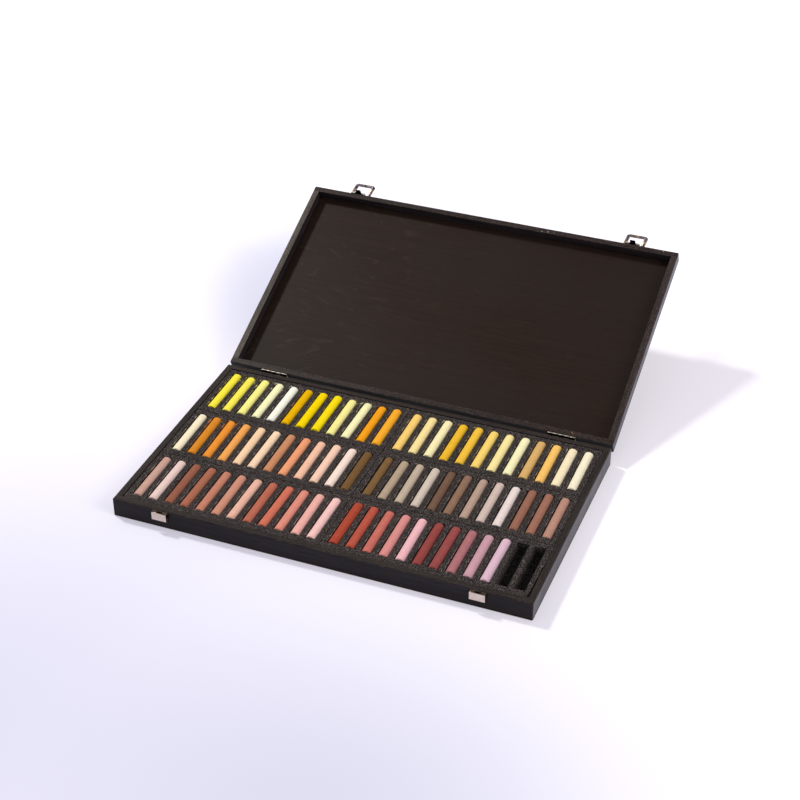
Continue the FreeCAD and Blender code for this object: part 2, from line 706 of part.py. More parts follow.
def keeper(side):
    """The folded keeper: a nailed plate, a top with the tongue's window, and the lip."""
    body = new_body(f"latch_keeper_{side}")
    top = "-Sizes.keeper_drop"
    lip_inside = "(Sizes.latch_sheet - Sizes.keeper_standoff)"
    profile = draw_loop(
        attach(body, "YZ_Plane"),
        [
            ("0", top),
            ("-Sizes.keeper_standoff", top),
            ("-Sizes.keeper_standoff", f"{top} - Sizes.keeper_lip_height"),
            (lip_inside, f"{top} - Sizes.keeper_lip_height"),
            (lip_inside, f"{top} - Sizes.latch_sheet"),
            ("-Sizes.latch_sheet", f"{top} - Sizes.latch_sheet"),
            ("-Sizes.latch_sheet", f"{top} - Sizes.keeper_plate_height"),
            ("0", f"{top} - Sizes.keeper_plate_height"),
        ],
    )
    pad(body, profile, "Sizes.latch_width", symmetric=True)
    bend_out = value("-Sizes.keeper_standoff")
    bend_level = value(top)
    soften(
        body, "Fillet", "Sizes.keeper_bend",
        lambda edge, middle: near(middle.y, bend_out) and near(middle.z, bend_level),
    )
    window = rectangle(
        attach(body, "YZ_Plane"),
        ("-Sizes.latch_sheet", f"{top} - Sizes.latch_sheet - Sizes.cut_overrun"),
        (lip_inside, f"{top} + Sizes.cut_overrun"),
    )
    pocket(body, window, "Sizes.keeper_window_width", symmetric=True)
    nailed_holes(body, "-Sizes.keeper_nail_drop", "Sizes.keeper_nail_spacing")
    place(body, f"{SIDES[side]} * {LATCH_CENTRE}", f"-{HALF_DEPTH}", "Sizes.base_height")


for latch_side in SIDES:
    latch_plate(latch_side)
    latch_lever(latch_side)
    latch_bail(latch_side)
    keeper(latch_side)
    pivot_pin(
        f"latch_pin_{latch_side}", "Sizes.latch_pin_diameter", "Sizes.latch_width", "0",
        "-Sizes.pivot_out", "Sizes.pivot_rise", latch_frame(latch_side),
    )


# The domed screws and nails, four alike in a group: one is made at the origin and repeated
# along X. Its frame has its origin in the wall's face, at the first one, and the heads stand
# out along -Y, so a group on the back face is turned half round.

def domed_fasteners(label, kind, seat, length, centre, spacing, y, z, carrier=None, turn="0"):
    """Four fasteners whose heads lie on a sheet of the seat's thickness."""
    body = new_body(label)
    shank_section = polygon(
        attach(body, "XZ_Plane", seat), "0", "0", f"Sizes.{kind}_shank_diameter / 2"
    )
    shank = pad(body, shank_section, length, reverse=True)
    sections = [
        polygon(
            attach(body, "XZ_Plane", f"{seat} + {height_share} * Sizes.{kind}_head_height"),
            "0", "0", f"{radius_share} * Sizes.{kind}_head_diameter / 2",
        )
        for radius_share, height_share in DOME_SHARES
    ]
    head = body.newObject("PartDesign::AdditiveLoft", f"{body.Name}_head")
    head.Profile = sections[0]
    head.Sections = sections[1:]
    head.Ruled = True
    doc.recompute()
    repeat_pairs(body, [shank, head], shank_section, spacing, f"2 * {centre}")
    place(body, f"-({centre} + {spacing} / 2)", y, z, carrier, turn)


for half_name, direction, frame in (("base", "-", None), ("lid", "+", LID_TURN)):
    domed_fasteners(
        f"{half_name}_hinge_screws", "screw", "Sizes.leaf_thickness", "Sizes.screw_length",
        HINGE_CENTRE, "Sizes.screw_spacing", HALF_DEPTH,
        f"{HINGE_Z} {direction} Sizes.screw_drop", frame, HALF_TURN,
    )
domed_fasteners(
    "keeper_nails", "nail", "Sizes.latch_sheet", "Sizes.nail_length", LATCH_CENTRE,
    "Sizes.keeper_nail_spacing", f"-{HALF_DEPTH}", "Sizes.base_height - Sizes.keeper_nail_drop",
)
domed_fasteners(
    "latch_nails", "nail", "Sizes.latch_sheet", "Sizes.nail_length", LATCH_CENTRE,
    "Sizes.latch_nail_spacing", f"-{HALF_DEPTH}", f"{LID_RIM} + Sizes.latch_nail_rise", LID_TURN,
)


# Check every object, and write one file for each sub-part.

doc.recompute()
for item in doc.Objects:
    if "Invalid" in item.State or "Error" in item.State:
        raise RuntimeError(f"{item.Label} failed: {item.State}")
for item in sub_parts:
    if item.Shape.isNull() or not item.Shape.isValid():
        raise RuntimeError(f"{item.Label} has no valid shape")
os.makedirs("parts", exist_ok=True)
for item in sub_parts:
    item.Shape.exportStep(f"parts/{item.Label}.step")
    print(item.Label, len(item.Shape.Solids), "solids", round(item.Shape.Volume, 1), "mm3")
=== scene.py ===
import json
import math

import bmesh
import bpy
import numpy as np
from mathutils import Matrix, Vector


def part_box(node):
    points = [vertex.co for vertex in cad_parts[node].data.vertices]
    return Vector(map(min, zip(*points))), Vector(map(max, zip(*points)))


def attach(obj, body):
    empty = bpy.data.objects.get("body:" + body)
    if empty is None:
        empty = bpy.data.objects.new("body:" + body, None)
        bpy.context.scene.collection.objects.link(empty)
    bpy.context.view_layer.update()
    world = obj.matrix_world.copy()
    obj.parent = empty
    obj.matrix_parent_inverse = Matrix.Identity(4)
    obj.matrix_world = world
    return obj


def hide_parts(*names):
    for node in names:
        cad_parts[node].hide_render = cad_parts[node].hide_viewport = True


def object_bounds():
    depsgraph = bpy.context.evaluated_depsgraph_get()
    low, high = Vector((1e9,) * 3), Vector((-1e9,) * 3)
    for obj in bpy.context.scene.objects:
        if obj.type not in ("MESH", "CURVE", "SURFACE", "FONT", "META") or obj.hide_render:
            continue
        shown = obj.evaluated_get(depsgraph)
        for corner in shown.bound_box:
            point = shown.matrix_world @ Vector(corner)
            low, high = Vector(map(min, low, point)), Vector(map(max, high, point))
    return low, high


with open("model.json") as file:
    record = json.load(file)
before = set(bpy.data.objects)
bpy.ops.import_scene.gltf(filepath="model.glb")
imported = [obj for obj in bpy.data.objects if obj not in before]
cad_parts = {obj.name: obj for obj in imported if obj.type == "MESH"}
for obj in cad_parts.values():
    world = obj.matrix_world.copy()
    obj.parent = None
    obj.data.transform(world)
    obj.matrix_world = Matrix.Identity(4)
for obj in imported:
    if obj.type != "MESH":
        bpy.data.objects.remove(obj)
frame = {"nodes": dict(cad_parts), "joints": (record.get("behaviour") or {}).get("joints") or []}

# A pastel box that stands open: a black stained wooden case, six slotted foam trays and
# seventy pastel sticks. Lengths are in metres. Colours are display values from 0 to 255, and
# those of light are linear, round 1. Every piece is made in the frame's own coordinates, at
# rest.

CAD_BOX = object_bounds()
NODES = frame["nodes"]
JOINTS = {joint["name"]: joint for joint in frame["joints"]}
LID_OPENING = math.radians(-JOINTS["lid_hinge"]["range_deg"][0])
HINGE_PLACE = JOINTS["lid_hinge"]["pos_m"]
OPEN_TURN = Matrix.Rotation(-LID_OPENING, 3, "X")
TRAY_ROWS = ("back", "middle", "front")
SIDES = ("left", "right")
SLOTS_PER_TRAY = 12

# The camera, as the photograph was taken.
CAMERA_PLACE = (0.56562, -1.35460, 1.10641)
CAMERA_TURN = 21.35
CAMERA_TILT = 34.16
CAMERA_LENS = 80.77
CAMERA_SENSOR = 36

# The slots of the foam, as the trays have them.
SLOT_PITCH = 0.0172
SLOT_HALF_WIDTH = 0.0057
SLOT_HALF_LENGTH = 0.0334
SLOT_FLOOR = 0.0107
FOAM_TOP = 0.0205

# Where painted shade darkens the foam down its slots, and how near another surface must be for painted
# shade.
FOAM_SHADE_START = FOAM_TOP - 0.004
FOAM_SHADE_END = FOAM_TOP - 0.014
GAP_REACH = 0.0016

# The foam's own surface: its grid, its worn lips and its unevenness.
FOAM_STEP = 0.0011
LIP_OFFSETS = (-0.0022, -0.0012, -0.0008, -0.0005, -0.00025, -0.0001, 0, 0.0001, 0.0002, 0.0003)
LIP_RADIUS = 0.0005
WALL_DRAFT = 0.0003
RIM_OFFSETS = (0, 0.00008, 0.0002, 0.0004, 0.001)
RIM_RADIUS = 0.0004
PIT_CELL = 0.0017
PIT_HEIGHT = 0.0001
SWELL_CELL = 0.014
SWELL_HEIGHT = 0.00012
RAGGED_CELL = 0.0024
RAGGED_WIDTH = 0.0001
RAGGED_BAND = 0.0012
SLOT_GRIP = 0.0006
HEIGHTS_IN_A_ROW = 211

# Seeds of the random draws. Rows, trays and sticks add their own numbers.
LAYOUT_SEED = 7
DUST_SEED = 100
STICK_SEED = 1000
STICK_ROW_SEED = 100
TRAY_ROW_SEED = 10
LIP_SEED = 5
PIT_SEED = 40
SWELL_SEED = 70

# The front right tray's outer edge is pulled in: how far, in how wide a strip, and the share
# of a half slot behind the slots' middle where that starts.
NEAR_EDGE_PULL = 0.0014
NEAR_EDGE_WIDTH = 0.004
NEAR_EDGE_START = 0.4

# How pastel dust lies on the foam: on the lips of a slot, and in a halo round it. Less of it
# lies on the right lip, and round the near end. The drifts are its least and its added share.
LIP_DUST_WIDTH = 0.00035
LIP_DUST = 0.5
LIP_TINT = 0.35
RIGHT_LIP_SHARE = 0.3
HALO_DUST_WIDTH = 0.0026
NEAREST_DUST = 0.1
MIDDLE_DUST = 0.5
DUST_SLOPE = 0.75
DUST_CELL = 0.0034
DUST_DRIFTS = (0.3, 0.9)
NO_DUST = 1e-9
USUAL_DUST = 0.12
PALE_DUST = (176, 166, 156)

# The sticks: their place and size, their rounded ends, how uneven they are and how chipped
# near an end, the inner share of an end's face and how rough it is, how much a stick may grow
# before it lies higher, and the usual thickness.
STICK_AXIS = 0.0164
STICK_RADIUS = 0.0054
STICK_HALF_LENGTH = 0.0331
STICK_SIDES = 36
STICK_RINGS = 22
STICK_EDGE = 0.0007
STICK_EDGE_BENDS = (0, 25, 50, 75, 90)
STICK_UNEVENNESS = 0.00009
STICK_CHIPPING = 0.00028
CHIPPING_REACH = 0.0009
CAP_SHARE = 0.55
CAP_ROUGHNESS = 0.00012
STICK_GROWTH = 0.00012
USUAL_THICKNESSES = (0.985, 1.012)

# Each pigment's full colour, its middle one and its palest tint, and the share of the way
# from the first to the last for each of its sticks.
PIGMENTS = {
    "lemon_yellow": ((255, 238, 62), (255, 250, 150), (255, 254, 240), (0.03, 0.14, 0.45, 0.76, 0.98)),
    "deep_yellow": ((235, 176, 0), (255, 224, 0), (255, 252, 212), (0.07, 0.46, 0.54, 0.86, 0.95)),
    "orange": ((250, 160, 18), (253, 186, 62), (255, 249, 200), (0.1, 0.3, 0.7, 0.85, 0.95)),
    "golden_ochre": ((242, 188, 44), (253, 206, 84), (255, 251, 205), (0.05, 0.25, 0.62, 0.82, 0.96)),
    "olive_ochre": ((218, 175, 108), (255, 200, 106), (255, 248, 222), (0.04, 0.5, 0.9, 0.96, 0.93)),
    "burnt_orange": ((218, 138, 40), (243, 151, 54), (255, 226, 196), (0.05, 0.45, 0.62, 0.92, 0.96)),
    "salmon_brown": ((202, 139, 100), (243, 161, 116), (255, 232, 216), (0.04, 0.5, 0.75, 0.84, 0.98)),
    "olive_grey": ((116, 85, 49), (158, 132, 100), (222, 208, 194), (0.03, 0.1, 0.7, 0.8, 0.94)),
    "umber": ((114, 86, 70), (162, 127, 104), (243, 228, 222), (0.03, 0.32, 0.65, 0.82, 0.97)),
    "red_brown": ((151, 103, 84), (176, 124, 104), (241, 214, 205), (0.06, 0.2, 0.6, 0.72, 0.97)),
    "sienna_red": ((149, 94, 74), (187, 116, 90), (241, 190, 170), (0.04, 0.3, 0.6, 0.7, 0.96)),
    "coral_red": ((185, 106, 84), (216, 117, 93), (252, 208, 203), (0.03, 0.42, 0.65, 0.84, 0.96)),
    "vermilion": ((173, 72, 51), (195, 96, 80), (247, 194, 200), (0.04, 0.3, 0.58, 0.75, 0.97)),
    "mauve": ((149, 69, 65), (170, 104, 106), (229, 194, 210), (0.03, 0.12, 0.56, 0.8, 0.97)),
}

# The sticks of each row, from left to right: a pigment and how many of its sticks follow.
STICK_ROWS = {
    "back": (
        ("lemon_yellow", 5), ("deep_yellow", 5), ("orange", 5), ("golden_ochre", 5), ("olive_ochre", 4),
    ),
    "middle": (
        ("olive_ochre", 1), ("burnt_orange", 5), ("salmon_brown", 5), ("olive_grey", 5), ("umber", 5),
        ("red_brown", 3),
    ),
    "front": (
        ("red_brown", 2), ("sienna_red", 5), ("coral_red", 5), ("vermilion", 5), ("mauve", 5),
    ),
}

# The dust round some slots, by row and number.
SLOT_DUST = {
    "back": {1: 0.34, 2: 0.4, 3: 0.28, 4: 0.3, 5: 0.4, 9: 0.42, 10: 0.42},
    "middle": {2: 0.42, 3: 0.42, 10: 0.35, 11: 0.35},
    "front": {9: 0.3, 11: 0.3, 13: 0.36, 14: 0.36},
}

# Sticks that lie unlike their neighbours: the lean of the far end, the shift to the back, and
# the share of the usual thickness.
ODD_STICKS = {
    ("back", 7): {"thickness": 1.045},
    ("back", 8): {"thickness": 1.045, "shift": 0.0008},
    ("back", 12): {"thickness": 1.045},
    ("middle", 1): {"lean": -0.0005},
    ("middle", 2): {"lean": -0.0007},
    ("middle", 3): {"lean": -0.0008},
    ("middle", 4): {"lean": -0.0006},
    ("middle", 5): {"lean": -0.0005},
    ("front", 9): {"lean": 0.0006},
    ("front", 13): {"thickness": 1.045},
}

# The thickness in one tray, and how far the other sticks lean and shift at most.
TRAY_THICKNESS = {("middle", "right"): 0.94}
LARGEST_LEAN = 0.00035
LARGEST_SHIFT = 0.0004

# The bent wire of the latches, and the heads of their nails and the hinges' screws.
WIRE_RADIUS = 0.0009
WIRE_HALF_WIDTH = 0.0021
WIRE_HALF_HEIGHT = 0.0014
WIRE_SPREAD = 0.0012
BEND_STEPS = 7
WIRE_SIDES = 16
BAIL_CORNER = 0.0022
BAIL_EYE_CORNER = 0.0012
BAIL_END_INSET = 0.0023
HEAD_SIDES = 32
HEAD_RIM_SHARE = 0.95
SEAT_MARGIN = 1e-5
DOME_STEPS = 6
SCREW_SLOT_HALF_WIDTH = 0.0003
SCREW_SLOT_DEPTH = 0.0006
SLOT_WALL_LEAN = 0.00003

# The metal's edges: how wide a bevel is, and from which turn in degrees there is one. Then
# how close points are welded, and how near another surface must be for painted shade on the metal.
HARDWARE_BEVEL = 0.00012
BEVEL_ANGLE = 35
WELD_DISTANCE = 1e-6
METAL_REACH = 0.004

# Crumbs of pastel: how large they are, how uneven, and the share of the height they lack.
CRUMB_SIZES = (0.00025, 0.0006)
CRUMB_STRETCH = (0.75, 1.15)
CRUMB_FLATNESS = 0.72

# Colours within the finishes.
BLACK = (0, 0, 0)
WHITE = (255, 255, 255)
# Painted shade in the wood's corners and gaps.
WOOD_CORNER_SHADE = (6, 5, 6)
PALE_SPECKS = (112, 101, 95)
DARK_SPECKS = (14, 11, 12)
PLY_DARK = (35, 24, 19)
PLY_LIGHT = (44, 31, 25)
PLY_CLOUDS = (38, 30, 26)
PLY_FIGURE = (66, 54, 45)
PLY_PORES = (14, 11, 11)
PLY_FLECKS = (105, 98, 94)
FOAM_SHADES = ((0.39, (7, 5, 6)), (0.46, (30, 26, 26)), (0.53, (53, 48, 47)), (0.62, (96, 88, 85)))
FOAM_CLOUDS = (34, 30, 29)
FOAM_FLECKS = (146, 137, 131)
# Painted shade down the foam's slots and in its gaps.
FOAM_SLOT_SHADE = (7, 5, 6)
SMUDGES = (70, 60, 55)
# Painted shade in the metal's corners.
METAL_CORNER_SHADE = (10, 8, 8)
# Brass and blackened patches on the wire, which are also painted warm reflection.
TARNISH_AND_PAINTED_REFLECTION = (
    (0.34, (58, 44, 32)), (0.44, (160, 148, 154)), (0.54, (140, 128, 132)), (0.6, (190, 150, 96)),
    (0.7, (232, 214, 186)),
)
WIRE_SCRATCHES = (48, 40, 36)


def linear(colour):
    """A display colour, as the shaders read it."""
    def channel(level):
        share = level / 255
        return share / 12.92 if share <= 0.04045 else ((share + 0.055) / 1.055) ** 2.4
    return tuple(channel(level) for level in colour) + (1.0,)


def between(first, second, share):
    """The colour that lies a share of the way from the first to the second."""
    return tuple(a + (b - a) * share for a, b in zip(first, second))


def roughness_at(x, y, cell, seed):
    """Smooth random heights from -1 to 1 over the plane, a cell apart."""
    size = HEIGHTS_IN_A_ROW
    heights = np.random.default_rng(seed).uniform(-1, 1, (size, size))
    column, line = np.floor(x / cell).astype(int), np.floor(y / cell).astype(int)
    across, along = x / cell - column, y / cell - line
    across, along = across ** 2 * (3 - 2 * across), along ** 2 * (3 - 2 * along)
    low = heights[column % size, line % size] * (1 - across)
    low += heights[(column + 1) % size, line % size] * across
    high = heights[column % size, (line + 1) % size] * (1 - across)
    high += heights[(column + 1) % size, (line + 1) % size] * across
    return low * (1 - along) + high * along


# Finishes

class Nodes:
    """A node tree, with one short call for each kind of node."""

    def __init__(self, tree):
        self.tree = tree

    def node(self, kind, inputs, **settings):
        made = self.tree.nodes.new(f"ShaderNode{kind}")
        for name, setting in settings.items():
            setattr(made, name, setting)
        for socket, value in inputs.items():
            self.feed(made.inputs[socket], value)
        return made

    def feed(self, socket, value):
        if isinstance(value, bpy.types.NodeSocket):
            self.tree.links.new(value, socket)
        else:
            socket.default_value = value

    def math(self, operation, first, second=0.0):
        return self.node("Math", {0: first, 1: second}, operation=operation).outputs[0]

    def times(self, first, second):
        return self.math("MULTIPLY", first, second)

    def axes(self, vector):
        """The outputs of a vector's X, Y and Z."""
        return self.node("SeparateXYZ", {0: vector}).outputs

    def spread(self, value, low, high, start=0.0, end=1.0):
        """The value's way from low to high, eased and kept between start and end."""
        made = self.node("MapRange", {
            "Value": value, "From Min": low, "From Max": high, "To Min": start, "To Max": end,
        }, interpolation_type="SMOOTHSTEP")
        return made.outputs[0]

    def seen_directly(self):
        """1 for rays from the camera, in reflections and through glass, and 0 for light."""
        path = self.node("LightPath", {}).outputs
        seen = self.math("MAXIMUM", path["Is Camera Ray"], path["Is Glossy Ray"])
        return self.math("MAXIMUM", seen, path["Is Transmission Ray"])


class Finish(Nodes):
    """A procedural material."""

    def __init__(self, name):
        self.material = bpy.data.materials.new(name)
        self.material.use_nodes = True
        super().__init__(self.material.node_tree)
        self.shader = self.tree.nodes["Principled BSDF"]

    def coordinates(self, scale=(1, 1, 1), turn=0.0, kind="Object"):
        """Object coordinates, turned about X to the closed lid's and stretched."""
        out = self.node("TexCoord", {}).outputs[kind]
        if turn:
            middle = (0, 0, 0) if kind == "Normal" else HINGE_PLACE
            turned = self.node(
                "VectorRotate", {"Vector": out, "Center": middle, "Angle": turn}, rotation_type="X_AXIS"
            )
            out = turned.outputs[0]
        return self.node("Mapping", {"Vector": out, "Scale": scale}).outputs[0]

    def noise(self, vector, scale, detail=2.0, roughness=0.5, distortion=0.0):
        made = self.node("TexNoise", {
            "Vector": vector, "Scale": scale, "Detail": detail, "Roughness": roughness,
            "Distortion": distortion,
        })
        return made.outputs[0]

    def ramp(self, value, *stops):
        """A colour from a row of (place, display colour) stops."""
        made = self.node("ValToRGB", {"Fac": value})
        elements = made.color_ramp.elements
        while len(elements) < len(stops):
            elements.new(1.0)
        for element, (place, colour) in zip(elements, stops):
            element.position = place
            element.color = linear(colour)
        return made.outputs["Color"]

    def blend(self, share, first, second, mode="MIX"):
        made = self.node("Mix", {0: share, 6: first, 7: second}, data_type="RGBA", blend_type=mode)
        return made.outputs[2]

    def hollows(self, reach, start, end):
        """0 in the open and 1 in corners and gaps that little light gets into."""
        light = self.node("AmbientOcclusion", {"Distance": reach}, samples=8).outputs["AO"]
        return self.spread(light, start, end)

    def bump(self, height, distance, strength=1.0, under=None):
        inputs = {"Height": height, "Distance": distance, "Strength": strength}
        if under is not None:
            inputs["Normal"] = under
        return self.node("Bump", inputs).outputs[0]

    def shade(self, colour, roughness, specular=0.5, metallic=0.0, normal=None):
        for socket, value in (
            ("Base Color", colour), ("Roughness", roughness), ("Specular IOR Level", specular),
            ("Metallic", metallic), ("Normal", normal),
        ):
            if value is not None:
                self.feed(self.shader.inputs[socket], value)
        return self.material


def grain_scale(along, length_scale, width_scale):
    """Texture scales for grain that runs along one axis."""
    return tuple(length_scale if axis == along else width_scale for axis in "XYZ")


def stained_wood(name, along, turn, rim_up, body_colour, reflecting_face_colour, rim_colour, corner_reach):
    """Black stain on a planed board: open pores, long fibres, paler, rubbed rims, a paler painted
    reflection on faces turned to the right, and painted shade in corners and gaps.
    """
    finish = Finish(name)
    pores = finish.noise(finish.coordinates(grain_scale(along, 45, 1100), turn), 1.0, 3.0, 0.6)
    fibres = finish.noise(finish.coordinates(grain_scale(along, 12, 260), turn), 1.0, 4.0, 0.6)
    clouds = finish.noise(finish.coordinates(turn=turn), 18.0, 3.0)
    patches = finish.noise(finish.coordinates(), 140.0, 3.0)
    facing = finish.axes(finish.coordinates(turn=turn, kind="Normal"))
    x, y, z = (finish.math("ABSOLUTE", facing[axis]) for axis in "XYZ")
    rim = finish.spread(finish.times(facing["Z"], rim_up), 0.6, 0.95)
    edge = finish.spread(finish.math("MAXIMUM", x, finish.math("MAXIMUM", y, z)), 0.94, 0.78)
    worn = finish.times(edge, finish.spread(patches, 0.44, 0.64, 0.0, 0.4))
    stain = finish.ramp(fibres, (0.3, between(body_colour, BLACK, 0.4)), (0.7, body_colour))
    end = finish.ramp(fibres, (0.3, between(reflecting_face_colour, BLACK, 0.25)), (0.7, reflecting_face_colour))
    # Faces turned to the right are painted paler, as a reflection.
    stain = finish.blend(finish.spread(facing["X"], 0.6, 0.95), stain, end)
    rubbed = finish.ramp(fibres, (0.3, between(rim_colour, BLACK, 0.35)), (0.7, rim_colour))
    colour = finish.blend(rim, stain, rubbed)
    colour = finish.blend(worn, colour, linear(between(rim_colour, WHITE, 0.12)))
    colour = finish.blend(
        finish.spread(pores, 0.42, 0.32), colour, linear(between(body_colour, BLACK, 0.65))
    )
    specks = finish.noise(finish.coordinates(), 1100.0, 1.0)
    pale_specks = finish.times(rim, finish.spread(specks, 0.57, 0.68, 0.0, 0.45))
    dark_specks = finish.times(rim, finish.spread(specks, 0.43, 0.34, 0.0, 0.7))
    colour = finish.blend(pale_specks, colour, linear(PALE_SPECKS))
    colour = finish.blend(dark_specks, colour, linear(DARK_SPECKS))
    # Painted shade in corners and gaps that little light gets into.
    colour = finish.blend(finish.hollows(corner_reach, 0.7, 0.3), colour, linear(WOOD_CORNER_SHADE))
    shine = finish.spread(clouds, 0.35, 0.65, 0.34, 0.44)
    relief = finish.bump(pores, 0.00012, 0.5, finish.bump(fibres, 0.00015, 0.35))
    return finish.shade(colour, shine, specular=0.12, normal=relief)


def stained_plywood(name, turn):
    """Thin rotary cut plywood: fine pale contour lines of its figure through black stain."""
    finish = Finish(name)
    figure = finish.noise(finish.coordinates((3.2, 9.0, 9.0), turn), 1.0, 3.0, 0.4, 0.6)
    contours = finish.math("FRACT", finish.times(figure, 24.0))
    line = finish.times(finish.spread(contours, 0.7, 0.95), finish.spread(contours, 1.0, 0.96))
    broken = finish.noise(finish.coordinates((40, 90, 90), turn), 1.0, 3.0, 0.6)
    across = finish.axes(finish.coordinates(turn=turn))["X"]
    strength = finish.times(
        finish.spread(across, 0.02, -0.16, 0.2, 1.0), finish.spread(broken, 0.46, 0.66, 0.0, 0.36)
    )
    fibres = finish.noise(finish.coordinates(grain_scale("X", 16, 480), turn), 1.0, 4.0, 0.65)
    pores = finish.noise(finish.coordinates(grain_scale("X", 120, 1500), turn), 1.0, 2.0, 0.6)
    clouds = finish.noise(finish.coordinates(turn=turn), 7.0, 3.0)
    stain = finish.ramp(fibres, (0.32, PLY_DARK), (0.68, PLY_LIGHT))
    stain = finish.blend(finish.spread(clouds, 0.35, 0.7, 0.0, 0.5), stain, linear(PLY_CLOUDS))
    colour = finish.blend(finish.times(line, strength), stain, linear(PLY_FIGURE))
    colour = finish.blend(finish.spread(pores, 0.36, 0.28, 0.0, 0.6), colour, linear(PLY_PORES))
    flecks = finish.spread(finish.noise(finish.coordinates(), 1300.0, 2.0), 0.71, 0.78, 0.0, 0.25)
    colour = finish.blend(flecks, colour, linear(PLY_FLECKS))
    shine = finish.spread(clouds, 0.3, 0.7, 0.4, 0.5)
    relief = finish.bump(fibres, 0.00012, 0.3)
    return finish.shade(colour, shine, specular=0.1, normal=relief)


def foam_finish(name):
    """Coarse charcoal foam: dark pores between lighter struts, dusted with pigment, with painted shade
    down its slots and in gaps.
    """
    finish = Finish(name)
    place = finish.coordinates()
    struts = finish.noise(place, 980.0, 2.0, 0.7)
    flecks = finish.noise(finish.coordinates((1, 1.1, 1)), 1250.0, 1.0, 0.5)
    clouds = finish.noise(place, 60.0, 3.0)
    colour = finish.ramp(struts, *FOAM_SHADES)
    colour = finish.blend(finish.spread(clouds, 0.3, 0.7, 0.0, 0.25), colour, linear(FOAM_CLOUDS))
    colour = finish.blend(finish.spread(flecks, 0.61, 0.69, 0.0, 0.8), colour, linear(FOAM_FLECKS))
    dust = finish.node("Attribute", {}, attribute_name="dust").outputs
    grains = finish.noise(place, 1100.0, 1.0, 0.5)
    lying = finish.math("ADD", dust["Alpha"], finish.times(grains, 0.9))
    amount = finish.spread(lying, 0.72, 0.84, 0.0, 0.8)
    colour = finish.blend(amount, colour, dust["Color"])
    # Painted shade down the slots and in narrow gaps.
    shade = finish.spread(finish.axes(place)["Z"], FOAM_SHADE_START, FOAM_SHADE_END)
    shade = finish.math("MAXIMUM", shade, finish.hollows(GAP_REACH, 0.35, 0.1))
    colour = finish.blend(shade, colour, linear(FOAM_SLOT_SHADE))
    relief = finish.bump(struts, 0.0006, 0.6)
    return finish.shade(colour, 0.95, specular=0.06, normal=relief)


def chalk(name, colour):
    """A pressed pastel stick: matt, a little mottled, with fine scratches and smudges."""
    finish = Finish(name)
    place = finish.coordinates()
    mottle = finish.noise(place, 260.0, 4.0, 0.65)
    grain = finish.noise(place, 2400.0, 2.0, 0.7)
    scratches = finish.noise(finish.coordinates((1300, 45, 1300)), 1.0, 3.0, 0.6)
    tone = finish.ramp(
        mottle, (0.3, between(colour, BLACK, 0.04)), (0.5, colour), (0.7, between(colour, WHITE, 0.05)),
    )
    streaks = finish.spread(scratches, 0.6, 0.74, 0.0, 0.22)
    tone = finish.blend(streaks, tone, linear(between(colour, BLACK, 0.14)))
    smudges = finish.spread(finish.noise(place, 95.0, 4.0, 0.7), 0.64, 0.8, 0.0, 0.16)
    tone = finish.blend(smudges, tone, linear(between(colour, SMUDGES, 0.45)))
    relief = finish.bump(mottle, 0.0002, 0.3)
    relief = finish.bump(scratches, 0.00012, 0.4, relief)
    relief = finish.bump(grain, 0.0001, 0.4, relief)
    return finish.shade(tone, 0.94, specular=0.08, normal=relief)


def plated(name, bright, turn=0.0, top=None, shade_limits=(), shade_colour=BLACK, gloom=0.0):
    """Nickel plate: finely brushed, painted darker on top as shade, and with painted shade in its corners
    and where told.

    Each shade limit is an axis, a place where the painted shade ends and a place where it is full.
    """
    finish = Finish(name)
    place = finish.coordinates(turn=turn)
    brushed = finish.noise(finish.coordinates((160, 3000, 3000), turn), 1.0, 2.0, 0.6)
    thin = finish.noise(place, 420.0, 3.0, 0.6)
    colour = finish.ramp(thin, (0.35, bright), (0.7, between(bright, WARM_NICKEL, 0.35)))
    # Upward faces are painted darker, as shade.
    if top is not None:
        upward = finish.axes(finish.coordinates(kind="Normal"))["Z"]
        mottled = finish.ramp(thin, (0.35, between(top, BLACK, 0.35)), (0.65, top))
        colour = finish.blend(finish.spread(upward, 0.45, 0.75), colour, mottled)
    # Painted shade in corners that little light gets into.
    colour = finish.blend(finish.hollows(METAL_REACH, 0.6, 0.25), colour, linear(METAL_CORNER_SHADE))
    # Painted shade between the given limits.
    if shade_limits:
        where = finish.axes(place)
        shade = 1.0
        for axis, edge, full in shade_limits:
            shade = finish.times(finish.spread(where[axis], edge, full), shade)
        colour = finish.blend(shade, colour, linear(shade_colour))
    shine = finish.spread(brushed, 0.3, 0.7, 0.3 + gloom, 0.42 + gloom)
    relief = finish.bump(brushed, 0.00002, 0.3)
    return finish.shade(colour, shine, metallic=1.0, normal=relief)


def tarnish_and_reflection_wire(name, turn):
    """Bail wire whose plate is worn to brass in places and blackened in others, patches that also serve as
    painted warm reflection.
    """
    finish = Finish(name)
    place = finish.coordinates(turn=turn)
    patches = finish.noise(place, 170.0, 1.0, 0.5, 0.4)
    # The patches are tarnish, and also painted warm reflection.
    colour = finish.ramp(patches, *TARNISH_AND_PAINTED_REFLECTION)
    fine = finish.noise(place, 2600.0, 2.0)
    colour = finish.blend(finish.spread(fine, 0.4, 0.7, 0.0, 0.3), colour, linear(WIRE_SCRATCHES))
    shine = finish.spread(fine, 0.3, 0.7, 0.3, 0.5)
    return finish.shade(colour, shine, metallic=1.0, normal=finish.bump(fine, 0.00003, 0.4))


# Pieces

def add(name, data):
    """A new object in the scene."""
    made = bpy.data.objects.new(name, data)
    bpy.context.scene.collection.objects.link(made)
    return made


